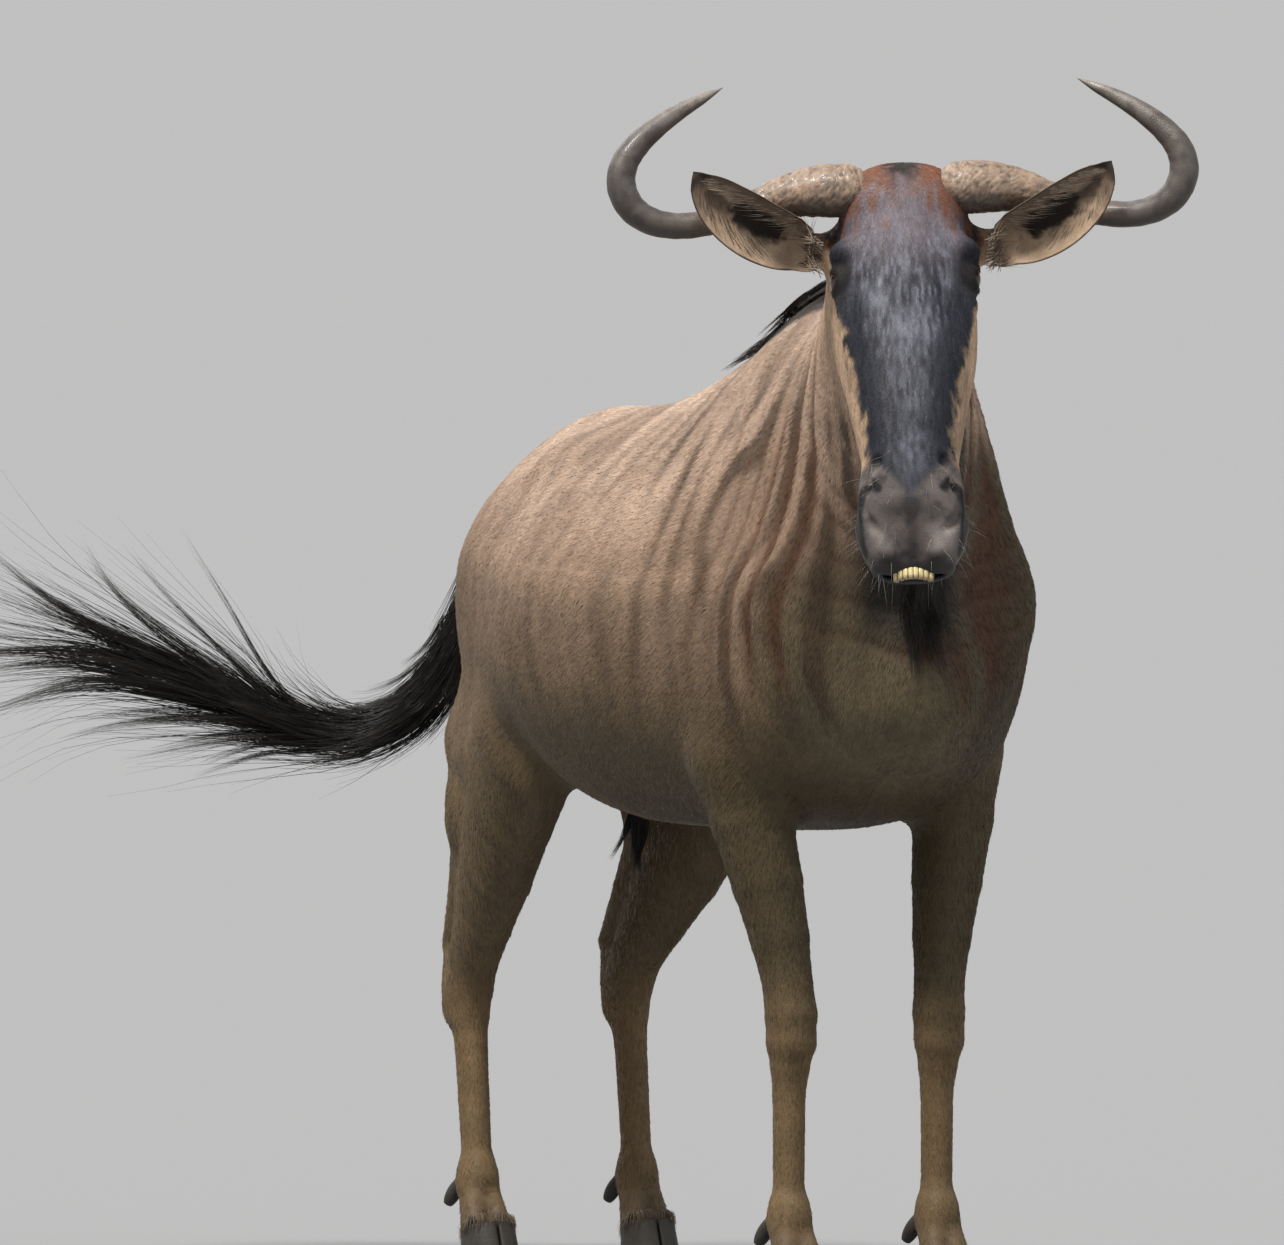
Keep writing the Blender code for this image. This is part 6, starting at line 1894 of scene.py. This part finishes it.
def fill(tree, node, **values):
    """Inputs and settings of a node by name, with _ for a space; an output of another node is linked."""
    for key, value in values.items():
        name = key.replace("_", " ")
        if isinstance(value, bpy.types.NodeSocket):
            tree.links.new(value, node.inputs[name])
        elif name in node.inputs:
            node.inputs[name].default_value = value
        else:
            setattr(node, key, value)
    return node


def add(tree, kind, **values):
    return fill(tree, tree.nodes.new(kind), **values)


def ranged(tree, source, low, high):
    """The grain's usual range stretched from low to high."""
    node = add(tree, "ShaderNodeMapRange", Value=source, From_Min=0.6, From_Max=1.4, To_Min=low, To_Max=high)
    return node.outputs["Result"]


def look(name, roughness, fine_size, bump, sheen=0.0, coat=0.0, vary=0.35, stretch=(1, 1, 1), specular=0.5):
    """Colour from the mesh with fine grain over it, and bump and roughness from the same grain."""
    mat = bpy.data.materials.new(name)
    mat.use_nodes = True
    tree = mat.node_tree
    place = add(tree, "ShaderNodeTexCoord").outputs["Object"]
    place = add(tree, "ShaderNodeMapping", Vector=place, Scale=stretch).outputs["Vector"]
    fine = add(tree, "ShaderNodeTexNoise", Vector=place, Scale=1.0 / fine_size, Detail=4.0, Roughness=0.6)
    broad = add(tree, "ShaderNodeTexNoise", Vector=place, Scale=0.05 / fine_size, Detail=3.0)
    both = add(tree, "ShaderNodeMath", operation="ADD")
    tree.links.new(fine.outputs["Fac"], both.inputs[0])
    tree.links.new(broad.outputs["Fac"], both.inputs[1])
    both = both.outputs[0]
    colour = add(tree, "ShaderNodeAttribute", attribute_name="hair").outputs["Color"]
    tone = ranged(tree, both, 1.0 - vary, 1.0 + vary)
    mixed = add(tree, "ShaderNodeMixRGB", blend_type="MULTIPLY", Fac=1.0, Color1=colour, Color2=tone)
    lumps = add(tree, "ShaderNodeBump", Strength=bump, Distance=fine_size * 0.5, Height=fine.outputs["Fac"])
    rough = ranged(tree, both, roughness - 0.1, roughness + 0.1)
    fill(tree, tree.nodes["Principled BSDF"], Base_Color=mixed.outputs["Color"], Roughness=rough,
         Normal=lumps.outputs["Normal"], Sheen_Weight=sheen, Coat_Weight=coat, Coat_Roughness=0.08,
         Specular_IOR_Level=specular)
    return mat


def floor_colour():
    """Tone at which the lit floor is as bright as the world behind it."""
    lit = np.zeros(3)
    for _, direction, strength, _, colour in LAMPS:
        lit += strength * -direction[2] / math.hypot(*direction) / math.pi * np.array(colour)
    world = np.array(WORLD_COLOUR)
    return tuple(world / (lit + world))


def floor_and_light():
    bpy.context.scene.view_settings.view_transform = "Standard"
    points = np.array(((-1, -1, 0), (1, -1, 0), (1, 1, 0), (-1, 1, 0)), float) * FLOOR_HALF
    mesh = bpy.data.meshes.new("floor")
    mesh.from_pydata([tuple(p) for p in points], [], [(0, 1, 2, 3)])
    floor = bpy.data.objects.new("floor", mesh)
    bpy.context.scene.collection.objects.link(floor)
    mat = bpy.data.materials.new("pale_floor")
    mat.use_nodes = True
    shader = mat.node_tree.nodes["Principled BSDF"]
    fill(mat.node_tree, shader, Base_Color=(*floor_colour(), 1.0), Roughness=0.95, Specular_IOR_Level=0.0)
    mesh.materials.append(mat)
    for name, direction, strength, spread, colour in LAMPS:
        lamp = bpy.data.lights.new(name, "SUN")
        lamp.energy = strength
        lamp.angle = math.radians(spread)
        lamp.color = colour
        obj = bpy.data.objects.new(name, lamp)
        obj.rotation_euler = Vector(direction).to_track_quat("-Z", "Y").to_euler()
        bpy.context.scene.collection.objects.link(obj)
    world = bpy.data.worlds.new("studio")
    world.use_nodes = True
    background = world.node_tree.nodes["Background"]
    background.inputs["Color"].default_value = (*WORLD_COLOUR, 1.0)
    bpy.context.scene.world = world


def add_camera():
    data = bpy.data.cameras.new("camera")
    data.sensor_width = 36.0
    data.lens = CAMERA_LENS
    data.clip_start = 1.0
    data.clip_end = 10000.0
    camera = bpy.data.objects.new("camera", data)
    camera.location = Vector(CAMERA_PLACE + SHIFT)
    left = math.radians(CAMERA_LEFT)
    down = math.radians(CAMERA_DOWN)
    heading = math.atan2(CAMERA_LINE[1], CAMERA_LINE[0]) + left
    way = Vector((math.cos(heading) * math.cos(down), math.sin(heading) * math.cos(down), -math.sin(down)))
    camera.rotation_euler = way.to_track_quat("-Z", "Y").to_euler()
    bpy.context.scene.collection.objects.link(camera)
    bpy.context.scene.camera = camera


def build_coat(coat, skin_look, whisker_look):
    points, tris = build_skin()
    normals = vertex_normals(points, tris)
    skin = mesh_object("skin", points, tris, coat_colour(points) * SKIN_TONE)
    centres = points[tris].mean(1)
    part = part_of(centres)
    near = round_and_along(centres, part)[0]
    give_uv(skin, unwrap(points[tris].reshape(-1, 3), np.repeat(part, 3), np.repeat(near, 3)))
    legs = ["leg_%s_%s" % (place, word) for place in ("front", "hind") for word in ("left", "right")]
    finish_piece(skin, skin_look, ["torso", "neck", "head", "forelock"] + legs, "torso")
    build_tufts(points, tris, normals, coat)
    build_whiskers(points, normals, whisker_look)


def build_feet(side, word, hoof_look, coat):
    """Two claws with their dewclaws on each foot of one side."""
    toes = ("inner", "outer") if side > 0 else ("outer", "inner")
    for hind, place in enumerate(("front", "hind")):
        x = side * (HOCK_X if hind else KNEE_X[side])
        y = HIND_Y if hind else FORE_Y
        for s, toe in zip((-1, 1), toes):
            left = 0.06 + 0.10 * (2 * hind + (side > 0)) + 0.05 * (s > 0)
            foot = "%s_%s_%s" % (place, word, toe)
            build_hoof("hoof_" + foot, x, y - CLAW_FORWARD, s, hoof_look, coat, (left, 0.80))
            build_dewclaw("dewclaw_" + foot, x, y, s, hoof_look, (left, 0.85))


def build_long_hair(look_of_hair):
    crest = on_skin([((x, y, 1.05), (x, y, 1.60)) for x, y in CREST])
    jaw = on_skin([(from_head(inner), from_head(outer)) for inner, outer in JAW_LINE])
    mane = locks_along(crest, CREST_STRIP, MANE_LOCKS, 5, mane_lie)
    mane += locks_along(crest, CREST_STRIP, MANE_SIDE_LOCKS, 6, mane_lie)
    mane += locks_along(crest, CREST_STRIP, MANE_SLEEK_LOCKS, 7, sleek_lie)
    throat = locks_along(on_skin(THROAT), THROAT_STRIP, THROAT_LOCKS, 11, throat_lie)
    beard = locks_along(jaw, JAW_STRIP, BEARD_LOCKS, 17, beard_lie)
    sheath = locks_along(on_skin(SHEATH), SHEATH_STRIP, SHEATH_LOCKS, 29, sheath_lie)
    upper = tail_locks(DOCK_END + LOCK_GAP, TAIL_SPLIT, TAIL_UPPER_LOCKS, 31, 0.10)
    lower = tail_locks(TAIL_SPLIT + LOCK_GAP, CORE_END, TAIL_LOWER_LOCKS, 37, 0.42)
    for name, locks, per_lock, seed, node, tone, width, flat, spread in (
            ("mane_hair", mane, 42, 201, "mane", MANE_TONE, 0.0011, 0.35, 1.0),
            ("throat_hair", throat, 95, 202, "throat_mane", LONG_BLACK, 0.0011, 1.0, 1.7),
            ("beard_hair", beard, 90, 203, "beard", LONG_BLACK, 0.0010, 1.0, 1.5),
            ("sheath_hair", sheath, 90, 204, "sheath_tuft", LONG_BLACK, 0.0010, 1.0, 1.0),
            ("tail_hair_top", upper, 62, 205, "tail_hair_upper", LONG_BLACK, 0.0013, 1.0, 1.0),
            ("tail_hair_end", lower, 62, 206, "tail_hair_lower", LONG_BLACK, 0.0013, 1.0, 1.0)):
        long_hair(name, locks, per_lock, seed, look_of_hair, [node], tone, width, flat, spread)
    build_tail_stream(look_of_hair)


def main():
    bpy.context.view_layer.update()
    add_camera()
    floor_and_light()
    coat = look("coat", 0.55, 0.0016, 0.3, sheen=0.02, vary=0.14, specular=0.28)
    skin_look = look("skin_under_coat", 0.60, 0.0022, 0.7, sheen=0.02, vary=0.20, specular=0.25)
    long_look = look("long_hair", 0.40, 0.0012, 0.3, vary=0.30, specular=0.25)
    pale_look = look("ear_hair_look", 0.6, 0.0012, 0.3, vary=0.2)
    horn_look = look("horn_look", 0.40, 0.0016, 0.8, vary=0.30, coat=0.08)
    ear_look = look("ear_skin", 0.75, 0.0014, 0.8, sheen=0.03, vary=0.35, specular=0.2)
    eye_look = look("eye_wet", 0.22, 0.004, 0.02, coat=0.15, vary=0.10, specular=0.35)
    tooth_look = look("tooth", 0.35, 0.0015, 0.3, coat=0.2, vary=0.15)
    hoof_look = look("hoof_horn", 0.60, 0.0016, 0.8, vary=0.40, stretch=(1, 1, 0.3), specular=0.3)

    build_coat(coat, skin_look, pale_look)
    for side, word in ((1, "left"), (-1, "right")):
        build_horn(side, word, horn_look)
        build_ear(side, word, ear_look, pale_look)
        build_eye(side, word, eye_look)
        build_feet(side, word, hoof_look, coat)
    build_teeth(tooth_look)
    build_tail_core(ear_look)
    build_long_hair(long_look)


main()
